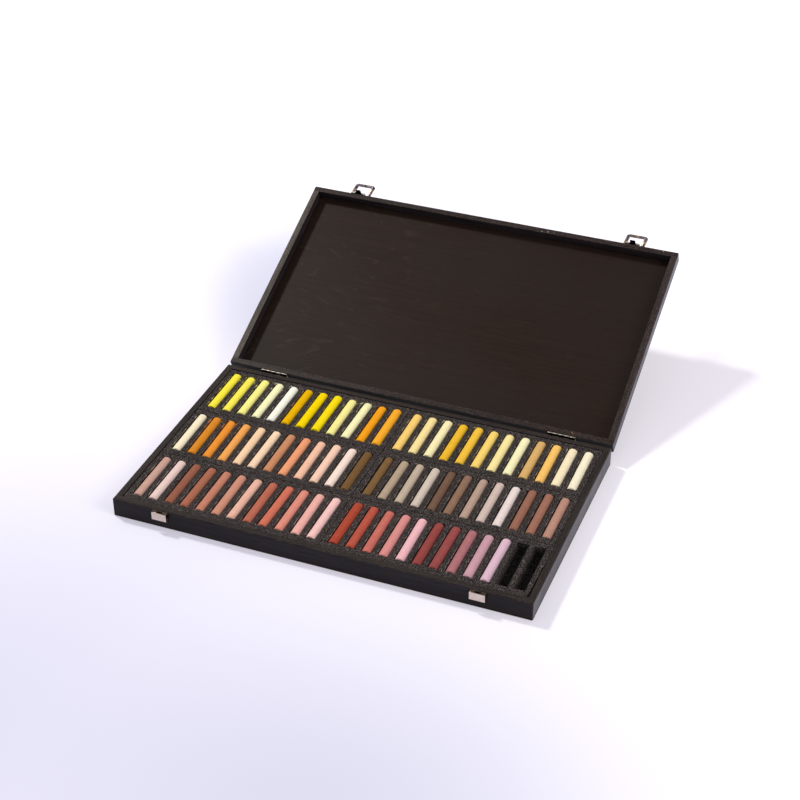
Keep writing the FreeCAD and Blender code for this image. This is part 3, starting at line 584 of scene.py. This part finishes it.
def piece(name, points, faces, material, body, stands_for=()):
    """A new mesh piece that rides on a body."""
    mesh = bpy.data.meshes.new(name)
    mesh.from_pydata([tuple(map(float, point)) for point in points], [], faces)
    mesh.update()
    mesh.shade_smooth()
    mesh.materials.append(material)
    made = add(name, mesh)
    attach(made, body)
    if stands_for:
        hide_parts(*stands_for)
    return made


def tube_faces(rings, sides):
    """The quads between rings of points that follow each other."""
    return [
        (ring * sides + k, ring * sides + (k + 1) % sides,
         (ring + 1) * sides + (k + 1) % sides, (ring + 1) * sides + k)
        for ring in range(rings - 1) for k in range(sides)
    ]


def closed_tube_faces(rings, sides):
    """The faces of such a tube with both ends closed."""
    ends = [tuple(range(sides))[::-1], tuple(range((rings - 1) * sides, rings * sides))]
    return tube_faces(rings, sides) + ends


def refinish(node, material):
    """Gives a CAD node its material."""
    slots = NODES[node].data.materials
    slots.clear()
    slots.append(material)


# The wooden case

# Each half's stain, a paler colour painted on its right-facing faces as a reflection, and its rims.
BASE_COLOUR = (43, 38, 43)
BASE_SIDE_REFLECTION = (98, 94, 101)
BASE_RIM = (54, 45, 41)
LID_COLOUR = (54, 47, 50)
LID_SIDE_REFLECTION = (104, 98, 110)
LID_RIM = (58, 47, 44)
SIDE_RIMS = {("lid", "left"): (98, 87, 79), ("lid", "right"): (72, 61, 57)}

# How near another surface must be for painted shade on the wood, and the longer reach on the back of the
# lid, painted dark where it shuts off light.
CORNER_REACH = 0.005
HINGE_GAP_REACH = 0.04

for half, turn, rim_up, colour, side_reflection, rim_colour in (
    ("base", 0.0, 1.0, BASE_COLOUR, BASE_SIDE_REFLECTION, BASE_RIM),
    ("lid", LID_OPENING, -1.0, LID_COLOUR, LID_SIDE_REFLECTION, LID_RIM),
):
    for direction, along in (("front", "X"), ("back", "X"), ("left", "Y"), ("right", "Y")):
        wall_rim = SIDE_RIMS.get((half, direction), rim_colour)
        # The left wall's inner face turns to the right, so it gets no painted reflection.
        reflecting_face_colour = colour if direction == "left" else side_reflection
        name = f"{half}_{direction}_wall"
        gap = HINGE_GAP_REACH if name == "lid_back_wall" else CORNER_REACH
        refinish(name, stained_wood(name, along, turn, rim_up, colour, reflecting_face_colour, wall_rim, gap))
    refinish(f"{half}_panel", stained_plywood(f"{half}_plywood", turn))


# The sticks' places and colours

def pigment_colour(pigment, number):
    """The colour of one stick of a pigment."""
    full, middle, tint, shares = PIGMENTS[pigment]
    share = shares[number]
    if share < 0.5:
        return between(full, middle, share * 2)
    return between(middle, tint, share * 2 - 1)


def lay_out_sticks():
    """What is known of each stick, by its row and its number from the left."""
    chance = np.random.default_rng(LAYOUT_SEED)
    sticks = {}
    carried = 0
    for row in TRAY_ROWS:
        number = 0
        for run, (pigment, count) in enumerate(STICK_ROWS[row]):
            first = carried if run == 0 else 0
            for index in range(count):
                column = SIDES[number // SLOTS_PER_TRAY]
                number += 1
                stick = {
                    "pigment": pigment,
                    "colour": pigment_colour(pigment, first + index),
                    "column": column,
                    "slot": (number - 1) % SLOTS_PER_TRAY,
                    "lean": chance.uniform(-LARGEST_LEAN, LARGEST_LEAN),
                    "shift": chance.uniform(-LARGEST_SHIFT, LARGEST_SHIFT),
                    "thickness": chance.uniform(*USUAL_THICKNESSES),
                    "dust": SLOT_DUST[row].get(number, USUAL_DUST),
                }
                stick["thickness"] *= TRAY_THICKNESS.get((row, column), 1.0)
                stick.update(ODD_STICKS.get((row, number), {}))
                sticks[row, number] = stick
            carried = (first + count) % len(PIGMENTS[pigment][3])
    return sticks


def slot_middle(row, column, slot):
    """The middle of one slot, from its tray's CAD node."""
    low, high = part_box(f"foam_tray_{row}_{column}")
    middle = (low + high) / 2
    return middle.x + (slot - (SLOTS_PER_TRAY - 1) / 2) * SLOT_PITCH, middle.y


STICKS = lay_out_sticks()


# The foam trays

def grid_lines(low, high, edges):
    """Lines across a tray, a step apart and bunched at its rim and at each slot's edge."""
    lines = {low + offset for offset in RIM_OFFSETS} | {high - offset for offset in RIM_OFFSETS}
    for edge, inward in edges:
        lines.update(edge + inward * offset for offset in LIP_OFFSETS)
    lines = sorted(line for line in lines if low <= line <= high)
    filled = []
    for line, following in zip(lines, lines[1:]):
        parts = max(1, round((following - line) / FOAM_STEP))
        filled.extend(line + (following - line) * part / parts for part in range(parts))
    return np.array(filled + [high])


def rounded_drop(distance, radius):
    """How far a rounded edge has dropped, a distance before its end."""
    inset = np.clip(radius - distance, 0, radius)
    return radius - np.sqrt(radius ** 2 - inset ** 2)


def foam_dust(x, y, row, column):
    """The colour of the dust at each point, and how thick it lies."""
    colour = np.zeros(x.shape + (3,))
    total = np.full(x.shape, NO_DUST)
    most = np.zeros(x.shape)
    for (stick_row, number), stick in STICKS.items():
        if (stick_row, stick["column"]) != (row, column):
            continue
        centre_x, centre_y = slot_middle(row, column, stick["slot"])
        out_x = np.abs(x - centre_x) - SLOT_HALF_WIDTH
        out_y = np.abs(y - centre_y) - SLOT_HALF_LENGTH
        away = np.hypot(np.maximum(out_x, 0), np.maximum(out_y, 0))
        drifts = 0.5 + 0.5 * roughness_at(x, y, DUST_CELL, DUST_SEED + number)
        far = MIDDLE_DUST + DUST_SLOPE * (y - centre_y) / SLOT_HALF_LENGTH
        far = np.clip(far, NEAREST_DUST, 1)
        side = np.where(x < centre_x, 1.0, RIGHT_LIP_SHARE)
        lip = LIP_DUST * side * np.exp(-((away - LIP_DUST_WIDTH) / LIP_DUST_WIDTH) ** 2)
        halo = stick["dust"] * far * np.exp(-away / HALO_DUST_WIDTH)
        patchy = (DUST_DRIFTS[0] + DUST_DRIFTS[1] * drifts ** 2) * (away > 0)
        lip_shade = between(PALE_DUST, stick["colour"], LIP_TINT)
        for share, shade in ((lip, lip_shade), (halo, stick["colour"])):
            weight = share * patchy
            colour += weight[..., None] * np.array(linear(shade)[:3])
            total += weight
            most = np.maximum(most, weight)
    return colour / total[..., None], np.clip(most, 0, 1)


def foam_height(x, y, inside, rim_distance, top, seed):
    """The height of the foam's surface at each point: slots, worn lips, pits and swells."""
    lip_drop = rounded_drop(-inside, LIP_RADIUS)
    rim_drop = rounded_drop(rim_distance, RIM_RADIUS)
    uneven = PIT_HEIGHT * roughness_at(x, y, PIT_CELL, seed + PIT_SEED)
    uneven += SWELL_HEIGHT * roughness_at(x, y, SWELL_CELL, seed + SWELL_SEED)
    level = top - SWELL_HEIGHT - np.maximum(lip_drop, rim_drop) + uneven
    return level + (SLOT_FLOOR - level) * np.clip(inside / WALL_DRAFT, 0, 1)


def slot_leans(x, y, row, column, centres, low, high):
    """How far the foam gives way to the leaning sticks at each point."""
    places, leans = [low], [0.0]
    for slot, (centre_x, _) in enumerate(centres):
        number = slot + 1 + SLOTS_PER_TRAY * SIDES.index(column)
        lean = STICKS.get((row, number), {"lean": 0.0})["lean"]
        reach = SLOT_HALF_WIDTH + SLOT_GRIP
        places += [centre_x - reach, centre_x + reach]
        leans += [lean, lean]
    along = np.clip((y - centres[0][1]) / SLOT_HALF_LENGTH, -1, 1)
    return np.interp(x, places + [high], leans + [0.0]) * along


def closed_sheet(grid, middle, bottom):
    """The points and faces of a sheet that has a grid of points on top and upright sides."""
    columns, lines = grid.shape[:2]
    points = grid.reshape(-1, 3)
    index = np.arange(columns * lines).reshape(columns, lines)
    faces = np.stack(
        [index[:-1, :-1], index[1:, :-1], index[1:, 1:], index[:-1, 1:]], -1
    ).reshape(-1, 4).tolist()
    rim = np.concatenate([index[:, 0], index[-1, 1:], index[-2::-1, -1], index[0, -2:0:-1]])
    loops = [rim.tolist()]
    for level in (middle, bottom):
        skirt = points[rim]
        skirt[:, 2] = level
        loops.append(list(range(len(points), len(points) + len(rim))))
        points = np.concatenate([points, skirt])
    for upper, lower in zip(loops, loops[1:]):
        faces.extend(
            (upper[k], lower[k], lower[(k + 1) % len(rim)], upper[(k + 1) % len(rim)])
            for k in range(len(rim))
        )
    faces.append(loops[-1][::-1])
    return points, faces


def foam_tray(row, column, material):
    """One sheet of foam with its slots, worn lips and uneven top."""
    low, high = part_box(f"foam_tray_{row}_{column}")
    centres = [slot_middle(row, column, slot) for slot in range(SLOTS_PER_TRAY)]
    first_x, centre_y = centres[0]
    edges_x = [
        (centre_x - inward * SLOT_HALF_WIDTH, inward) for centre_x, _ in centres for inward in (1, -1)
    ]
    edges_y = [(centre_y - inward * SLOT_HALF_LENGTH, inward) for inward in (1, -1)]
    lines_x, lines_y = grid_lines(low.x, high.x, edges_x), grid_lines(low.y, high.y, edges_y)
    x, y = np.meshgrid(lines_x, lines_y, indexing="ij")

    seed = TRAY_ROW_SEED * TRAY_ROWS.index(row) + SIDES.index(column)
    ragged = RAGGED_WIDTH * roughness_at(x, y, RAGGED_CELL, seed)
    nearest = np.rint((x - first_x) / SLOT_PITCH)
    nearest = np.clip(nearest, 0, SLOTS_PER_TRAY - 1).astype(int)
    slot_x = np.array([centre[0] for centre in centres])[nearest]
    inside = np.minimum(SLOT_HALF_WIDTH - np.abs(x - slot_x), SLOT_HALF_LENGTH - np.abs(y - centre_y))
    rim_distance = np.minimum(np.minimum(x - low.x, high.x - x), np.minimum(y - low.y, high.y - y))
    z = foam_height(x, y, inside, rim_distance, high.z, seed)
    dust_colour, dust_amount = foam_dust(x, y, row, column)

    at_lip = np.exp(-(inside / RAGGED_BAND) ** 2)
    x = x + slot_leans(x, y, row, column, centres, low.x, high.x) + ragged * at_lip
    ragged = RAGGED_WIDTH * roughness_at(y, x, RAGGED_CELL, seed + LIP_SEED)
    y = y + ragged * at_lip * (rim_distance > LIP_RADIUS)
    if (row, column) == ("front", "right"):
        loose = np.clip((lines_x[:, None] - (high.x - NEAR_EDGE_WIDTH)) / NEAR_EDGE_WIDTH, 0, 1)
        near = np.clip((centre_y - y) / SLOT_HALF_LENGTH + NEAR_EDGE_START, 0, 1)
        x = x - NEAR_EDGE_PULL * loose * near

    points, faces = closed_sheet(np.stack([x, y, z], -1), (low.z + high.z) / 2, low.z)
    made = piece(
        f"tray_foam_{row}_{column}", points, faces, material, f"tray_{row}_{column}",
        [f"foam_tray_{row}_{column}"],
    )
    dust = made.data.attributes.new("dust", "FLOAT_COLOR", "POINT")
    values = np.zeros((len(points), 4), np.float32)
    values[:x.size, :3] = dust_colour.reshape(-1, 3)
    values[:x.size, 3] = dust_amount.reshape(-1)
    dust.data.foreach_set("color", values.ravel())


FOAM = foam_finish("charcoal_foam")
for tray_row in TRAY_ROWS:
    for tray_column in SIDES:
        foam_tray(tray_row, tray_column, FOAM)


# The sticks

def stick_profile():
    """Places along a stick from its near end, and the radius at each, with rounded ends."""
    bends = [math.radians(angle) for angle in STICK_EDGE_BENDS]
    near = [
        (STICK_EDGE * (1 - math.cos(bend)), STICK_RADIUS - STICK_EDGE * (1 - math.sin(bend)))
        for bend in bends
    ]
    middle = np.linspace(STICK_EDGE, 2 * STICK_HALF_LENGTH - STICK_EDGE, STICK_RINGS)[1:-1]
    shaft = [(place, STICK_RADIUS) for place in middle]
    far = [(2 * STICK_HALF_LENGTH - place, radius) for place, radius in reversed(near)]
    return near + shaft + far


def pastel_stick(row, number, stick):
    """One stick: a pressed cylinder with slightly uneven sides and crumbled ends."""
    chance = np.random.default_rng(STICK_SEED + STICK_ROW_SEED * TRAY_ROWS.index(row) + number)
    centre_x, centre_y = slot_middle(row, stick["column"], stick["slot"])
    angles = np.arange(STICK_SIDES) * 2 * math.pi / STICK_SIDES
    profile = stick_profile()
    points = []
    thickness = stick["thickness"]
    waves = chance.uniform(-1, 1, (len(profile), STICK_SIDES))
    for _ in range(2):
        waves = (waves + np.roll(waves, 1, 1) + np.roll(waves, -1, 1)) / 3
    for ring, (place, radius) in enumerate(profile):
        y = centre_y - STICK_HALF_LENGTH + place + stick["shift"]
        from_end = min(place, 2 * STICK_HALF_LENGTH - place)
        crumble = STICK_CHIPPING * math.exp(-from_end / CHIPPING_REACH)
        radii = radius * thickness + (STICK_UNEVENNESS + crumble) * waves[ring] - crumble
        axis_x = centre_x + stick["lean"] * (place / STICK_HALF_LENGTH - 1)
        axis_z = STICK_AXIS + max(0.0, (thickness - 1) * STICK_RADIUS - STICK_GROWTH)
        points += [
            (axis_x + r * math.cos(a), y, axis_z + r * math.sin(a)) for r, a in zip(radii, angles)
        ]
    faces = [face[::-1] for face in tube_faces(len(profile), STICK_SIDES)]
    last = (len(profile) - 1) * STICK_SIDES
    for ring_start, outward in ((0, -1), (last, 1)):
        ring = list(range(ring_start, ring_start + STICK_SIDES))
        centre = np.mean([points[k] for k in ring], axis=0)
        inner = [tuple(centre + (np.array(points[k]) - centre) * CAP_SHARE) for k in ring]
        start = len(points)
        dish = CAP_ROUGHNESS * chance.uniform(-1, 1, STICK_SIDES)
        points += [(p[0], p[1] + outward * d, p[2]) for p, d in zip(inner, dish)]
        points.append(tuple(centre))
        for k in range(STICK_SIDES):
            following = (k + 1) % STICK_SIDES
            quad = (ring[k], ring[following], start + following, start + k)
            fan = (start + k, start + following, start + STICK_SIDES)
            faces += [quad, fan] if outward < 0 else [quad[::-1], fan[::-1]]
    pigment = stick["pigment"]
    name = f"{pigment}_stick_{row}_{number:02d}"
    piece(
        name, points, faces, chalk(name, stick["colour"]), f"sticks_{row}_{stick['column']}",
        [f"sticks_{pigment}_{row}_{stick['column']}"],
    )


for (stick_row, stick_number), stick_facts in STICKS.items():
    pastel_stick(stick_row, stick_number, stick_facts)


# The hinges and latches

KEEPER_NICKEL = (210, 197, 190)
HINGE_NICKEL = (214, 204, 194)
LATCH_NICKEL = (196, 184, 172)
WARM_NICKEL = (168, 146, 116)
# Painted shade on the keepers' upward faces.
TOP_SHADE_NICKEL = (124, 106, 95)
PIN_STEEL = (140, 134, 128)
# Painted shade inside the keepers' windows.
KEEPER_SHADE_COLOUR = (62, 43, 33)

# Where shade is painted: on the near side of the hinges' knuckles, on the latches' tongues, and
# behind the keepers' lips.
KNUCKLE_SHADE_LIMITS = (("Z", 0.02272, 0.0225), ("Z", 0.019, 0.0196), ("Y", 0.1345, 0.1341))
TONGUE_SHADE_LIMITS = (("Z", 0.0236, 0.0232),)
KEEPER_SHADE_LIMITS = (("Z", 0.0199, 0.0195), ("Y", -0.1363, -0.136))


def soften_edges(node):
    """Breaks the sharp edges of a pressed metal part, so that they catch the light."""
    weld = NODES[node].modifiers.new("weld", "WELD")
    weld.merge_threshold = WELD_DISTANCE
    bevel = NODES[node].modifiers.new("bevel", "BEVEL")
    bevel.width = HARDWARE_BEVEL
    bevel.segments = 2
    bevel.limit_method = "ANGLE"
    bevel.angle_limit = math.radians(BEVEL_ANGLE)
    bevel.harden_normals = True


HARDWARE = {
    "base_hinge_leaf": plated("hinge_nickel", HINGE_NICKEL, shade_limits=KNUCKLE_SHADE_LIMITS, gloom=0.2),
    "lid_hinge_leaf": plated("lid_hinge_nickel", HINGE_NICKEL, shade_limits=KNUCKLE_SHADE_LIMITS, gloom=0.2),
    "latch_keeper": plated(
        "keeper_nickel", KEEPER_NICKEL, top=TOP_SHADE_NICKEL, shade_limits=KEEPER_SHADE_LIMITS, shade_colour=KEEPER_SHADE_COLOUR
    ),
    "latch_plate": plated("plate_nickel", LATCH_NICKEL, LID_OPENING, shade_limits=TONGUE_SHADE_LIMITS),
    "hinge_pin": plated("hinge_steel", PIN_STEEL),
    "latch_pin": plated("latch_steel", PIN_STEEL),
}
for side in SIDES:
    for part, material in HARDWARE.items():
        refinish(f"{part}_{side}", material)
        if "pin" not in part:
            soften_edges(f"{part}_{side}")


def rounded_path(corners, radii, steps):
    """A plane line through corners, with an arc of each radius at the inner ones."""
    path = [Vector(corners[0])]
    for before, corner, after, radius in zip(corners, corners[1:], corners[2:], radii):
        corner = Vector(corner)
        inward = (Vector(before) - corner).normalized()
        outward = (Vector(after) - corner).normalized()
        centre = corner + (inward + outward) * radius
        for step in range(steps + 1):
            angle = math.pi / 2 * step / steps
            path.append(centre - outward * radius * math.cos(angle) - inward * radius * math.sin(angle))
    path.append(Vector(corners[-1]))
    return path


def wire_bail(side, material):
    """The bent wire of one latch, where its CAD node lies."""
    node = f"latch_bail_{side}"
    low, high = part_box(node)
    pivot = Vector(JOINTS[f"bail_{side}_pivot"]["pos_m"])
    offsets = [vertex.co - pivot for vertex in NODES[node].data.vertices]
    distance = max(math.hypot(offset.y, offset.z) for offset in offsets)
    bar = [offset for offset in offsets if math.hypot(offset.y, offset.z) > distance - 2 * WIRE_RADIUS]
    outward = Vector((0, sum(offset.y for offset in bar), sum(offset.z for offset in bar))).normalized()
    reach = max(offset.dot(outward) for offset in offsets) - WIRE_RADIUS + WIRE_SPREAD
    arm = (high.x - low.x) / 2 - WIRE_RADIUS + WIRE_SPREAD
    end = arm - WIRE_SPREAD - BAIL_END_INSET
    corners = [(-end, 0), (-arm, 0), (-arm, reach), (arm, reach), (arm, 0), (end, 0)]
    radii = (BAIL_EYE_CORNER, BAIL_CORNER, BAIL_CORNER, BAIL_EYE_CORNER)
    path = [
        pivot + Vector((across, 0, 0)) + outward * along
        for across, along in rounded_path(corners, radii, BEND_STEPS)
    ]
    sideways = Vector((1, 0, 0)).cross(outward)
    points = []
    for number, place in enumerate(path):
        before, after = path[max(number - 1, 0)], path[min(number + 1, len(path) - 1)]
        from_end = min(number, len(path) - 1 - number)
        share = min(1.0, max(0.0, (from_end - 1) / BEND_STEPS))
        half_width = WIRE_RADIUS + (WIRE_HALF_WIDTH - WIRE_RADIUS) * share
        half_height = WIRE_RADIUS + (WIRE_HALF_HEIGHT - WIRE_RADIUS) * share
        tangent = (after - before).normalized()
        inward = sideways.cross(tangent)
        for k in range(WIRE_SIDES):
            angle = 2 * math.pi * k / WIRE_SIDES
            across = inward * half_width * math.cos(angle)
            points.append(place + across + sideways * half_height * math.sin(angle))
    faces = closed_tube_faces(len(path), WIRE_SIDES)
    piece(f"wire_bail_{side}", points, faces, material, f"bail_{side}", [node])


WIRE = tarnish_and_reflection_wire("bail_wire", LID_OPENING)
for side in SIDES:
    wire_bail(side, WIRE)


def separate_solids(node):
    """The points of each separate solid in a CAD node, from left to right."""
    shape = bmesh.new()
    shape.from_mesh(NODES[node].data)
    bmesh.ops.remove_doubles(shape, verts=shape.verts, dist=WELD_DISTANCE)
    left = set(shape.verts)
    solids = []
    while left:
        reached = [left.pop()]
        for vertex in reached:
            for edge in vertex.link_edges:
                other = edge.other_vert(vertex)
                if other in left:
                    left.remove(other)
                    reached.append(other)
        solids.append(np.array([vertex.co[:] for vertex in reached]))
    shape.free()
    return sorted(solids, key=lambda points: points[:, 0].mean())


def cut_screw_slot(shape, centre, outward, across, depth):
    """Sinks a straight driver slot into the top of a head."""
    for distance in (-SCREW_SLOT_HALF_WIDTH, SCREW_SLOT_HALF_WIDTH):
        for lean in (0, -math.copysign(SLOT_WALL_LEAN, distance)):
            bmesh.ops.bisect_plane(
                shape, geom=shape.verts[:] + shape.edges[:] + shape.faces[:],
                plane_co=centre + across * (distance + lean), plane_no=across,
            )
    level = max(vertex.co.dot(outward) for vertex in shape.verts) - depth
    reach = SCREW_SLOT_HALF_WIDTH - SLOT_WALL_LEAN / 2
    for vertex in shape.verts:
        if abs((vertex.co - centre).dot(across)) < reach and vertex.co.dot(outward) > level:
            vertex.co -= outward * (vertex.co.dot(outward) - level)


def fastener(name, solid, outward, turn, body, stands_for, material):
    """A screw or a nail: a domed head on a round shank, where the CAD's solid lies."""
    along = solid @ np.array(outward)
    plane = solid - np.outer(along, np.array(outward))
    middle = Vector(plane.mean(axis=0))
    radii = np.linalg.norm(plane - plane.mean(axis=0), axis=1)
    head_radius = radii.max()
    seat = along[radii > HEAD_RIM_SHARE * head_radius].min()
    shank_radius = radii[along < seat - SEAT_MARGIN].max()
    top = along.max()
    across = Vector((math.cos(turn), 0, math.sin(turn)))
    across = (across - outward * across.dot(outward)).normalized()
    upward = outward.cross(across)
    profile = [(shank_radius, along.min()), (shank_radius, seat), (head_radius, seat)]
    for step in range(DOME_STEPS):
        angle = math.pi / 2 * (step + 1) / (DOME_STEPS + 1)
        profile.append((head_radius * math.cos(angle), seat + (top - seat) * math.sin(angle)))
    points = [
        middle + outward * level + (across * math.cos(a) + upward * math.sin(a)) * radius
        for radius, level in profile
        for a in (2 * math.pi * k / HEAD_SIDES for k in range(HEAD_SIDES))
    ]
    faces = closed_tube_faces(len(profile), HEAD_SIDES)
    made = piece(name, points, faces, material, body, [stands_for])
    if "screw" in name:
        shape = bmesh.new()
        shape.from_mesh(made.data)
        cut_screw_slot(shape, middle, outward, across, SCREW_SLOT_DEPTH)
        shape.to_mesh(made.data)
        shape.free()


FASTENER_NICKEL = plated("fastener_nickel", HINGE_NICKEL)
SCREW_TURNS = (0.4, 1.3, 2.2, 0.9)
BACKWARD = Vector((0, 1, 0))
FORWARD = Vector((0, -1, 0))
for group, outward, body in (
    ("base_hinge_screws", BACKWARD, "base"), ("lid_hinge_screws", OPEN_TURN @ BACKWARD, "lid"),
    ("keeper_nails", FORWARD, "base"), ("latch_nails", OPEN_TURN @ FORWARD, "lid"),
):
    for number, solid in enumerate(separate_solids(group)):
        fastener(
            f"{group[:-1]}_{number + 1}", solid, outward, SCREW_TURNS[number], body, group, FASTENER_NICKEL
        )


# Crumbs of pastel that lie on the case

def crumbs(name, body, normal, spots, pigment, number):
    """Small lumps of a stick's pastel, in one piece, and flat enough for the lid to shut."""
    chance = np.random.default_rng(len(name))
    points, faces = [], []
    for spot in spots:
        size = chance.uniform(*CRUMB_SIZES)
        start = len(points)
        shape = bmesh.new()
        bmesh.ops.create_icosphere(shape, subdivisions=2, radius=size)
        for vertex in shape.verts:
            offset = vertex.co * chance.uniform(*CRUMB_STRETCH)
            points.append(Vector(spot) + offset - normal * offset.dot(normal) * CRUMB_FLATNESS)
        faces += [tuple(start + vertex.index for vertex in face.verts) for face in shape.faces]
        shape.free()
    colour = pigment_colour(pigment, number)
    piece(name, points, faces, chalk(name, colour), body)


LID_NORMAL = OPEN_TURN @ Vector((0, 0, -1))
crumbs(
    "lid_crumbs_gold", "lid", LID_NORMAL,
    [(0.20302, 0.37844, 0.12118), (0.17405, 0.14068, 0.02367), (0.0625, 0.3757, 0.1201)],
    "golden_ochre", 4,
)
crumbs(
    "lid_crumbs_pale", "lid", LID_NORMAL,
    [(0.0693, 0.3766, 0.1204), (0.0764, 0.3764, 0.1204)],
    "olive_ochre", 4,
)
crumbs("lid_crumbs_orange", "lid", LID_NORMAL, [(0.1754, 0.1400, 0.0234)], "burnt_orange", 1)
crumbs(
    "foam_crumbs_orange", "tray_back_left", Vector((0, 0, 1)),
    [(-0.1979, 0.0561, 0.0204), (-0.2024, 0.0612, 0.0204)], "burnt_orange", 0,
)


# The floor, the light and the camera

FLOOR_HALF_WIDTH = 5.0
FLOOR_DROP = 0.0001
FLOOR_ALBEDO = (224, 221, 227)
FLOOR_LIFT = 0.41
FLOOR_GLOW = (0.97, 0.93, 1.0, 1.0)

# Painted lilac shade on the floor, in pools: the middle, how far it reaches and is full, and its tint.
LILAC_SHADE_POOLS = (
    ((-0.22, -0.43, 0.0), 0.66, 0.02, (0.7, 0.715, 0.8, 1.0)),
    ((0.2, -0.42, 0.0), 0.36, 0.02, (0.76, 0.78, 0.84, 1.0)),
    ((-0.12, 0.37, 0.0), 0.28, 0.15, (0.76, 0.79, 0.88, 1.0)),
)

# The light from all round, and where the white backdrop turns into a darker ceiling.
WORLD_LIGHT = (0.96, 0.95, 1.0, 1.0)
WORLD_STRENGTH = 0.44
BACKDROP_TOP = 0.3
CEILING_START = 0.6
ZENITH_SHARE = 0.25

# Each lamp's direction from the middle, its distance and size, the level and the colour.
LIGHT_CENTRE = Vector((0, 0.1, 0))
LAMPS = {
    "key_lamp": (Vector((-0.63, 0.2, 0.75)), 5.0, 0.62, 0.44, (1.0, 0.985, 0.95)),
    "fill_lamp": (Vector((0.8, -0.2, 0.56)), 5.0, 2.4, 0.18, (1.0, 0.98, 1.0)),
}


def floor_finish():
    """A pale matt table that is lifted to white where it is seen, so shadows stay on it, with pools of
    painted lilac shade.
    """
    finish = Finish("pale_table")
    place = finish.coordinates()
    weave = finish.noise(place, 900.0, 2.0)
    colour = finish.ramp(weave, (0.3, between(FLOOR_ALBEDO, BLACK, 0.01)), (0.7, FLOOR_ALBEDO))
    glow = FLOOR_GLOW
    # Painted lilac shade in pools round the case.
    for middle, reach, full, tint in LILAC_SHADE_POOLS:
        away = finish.node("VectorMath", {0: place, 1: middle}, operation="DISTANCE")
        share = finish.spread(away.outputs["Value"], reach, full)
        colour = finish.blend(share, colour, finish.blend(1.0, colour, tint, "MULTIPLY"))
        glow = finish.blend(share, glow, finish.blend(1.0, glow, tint, "MULTIPLY"))
    finish.shade(colour, 0.9, specular=0.0)
    finish.feed(finish.shader.inputs["Emission Color"], glow)
    lift = finish.times(finish.seen_directly(), FLOOR_LIFT)
    finish.feed(finish.shader.inputs["Emission Strength"], lift)
    return finish.material


def table():
    mesh = bpy.data.meshes.new("table")
    half = FLOOR_HALF_WIDTH
    level = CAD_BOX[0].z - FLOOR_DROP
    corners = [(-half, -half, level), (half, -half, level), (half, half, level), (-half, half, level)]
    mesh.from_pydata(corners, [], [(0, 1, 2, 3)])
    mesh.materials.append(floor_finish())
    made = add("table", mesh)


def lamp(name, direction, distance, size, level, colour):
    """A round soft lamp that lights a white table to the level, from 0 to 1."""
    data = bpy.data.lights.new(name, "AREA")
    data.shape = "DISK"
    data.size = size
    data.energy = level * (math.pi * distance) ** 2 / direction.normalized().z
    data.color = colour
    made = add(name, data)
    made.location = LIGHT_CENTRE + direction.normalized() * distance
    made.rotation_euler = (-direction).to_track_quat("-Z", "Y").to_euler()


def studio_world():
    """Even pale light all round. What is seen of it is a white backdrop under a darker ceiling."""
    world = bpy.data.worlds.new("studio")
    bpy.context.scene.world = world
    world.use_nodes = True
    sky = Nodes(world.node_tree)
    light = sky.tree.nodes["Background"]
    sky.feed(light.inputs["Color"], WORLD_LIGHT)
    sky.feed(light.inputs["Strength"], WORLD_STRENGTH)
    height = sky.axes(sky.node("TexCoord", {}).outputs["Generated"])["Z"]
    fade = sky.spread(height, BACKDROP_TOP, CEILING_START, 1.0, ZENITH_SHARE)
    backdrop = sky.node("Background", {"Color": (1, 1, 1, 1), "Strength": fade})
    inputs = {0: sky.seen_directly(), 1: light.outputs[0], 2: backdrop.outputs[0]}
    mix = sky.node("MixShader", inputs)
    sky.feed(sky.tree.nodes["World Output"].inputs["Surface"], mix.outputs[0])


table()
for lamp_name, lamp_facts in LAMPS.items():
    lamp(lamp_name, *lamp_facts)
studio_world()

camera_data = bpy.data.cameras.new("photo_camera")
camera_data.lens = CAMERA_LENS
camera_data.sensor_width = CAMERA_SENSOR
camera = add("photo_camera", camera_data)
camera.location = CAMERA_PLACE
camera.rotation_euler = (math.radians(90 - CAMERA_TILT), 0, math.radians(CAMERA_TURN))
bpy.context.scene.camera = camera
bpy.context.scene.view_settings.view_transform = "Standard"
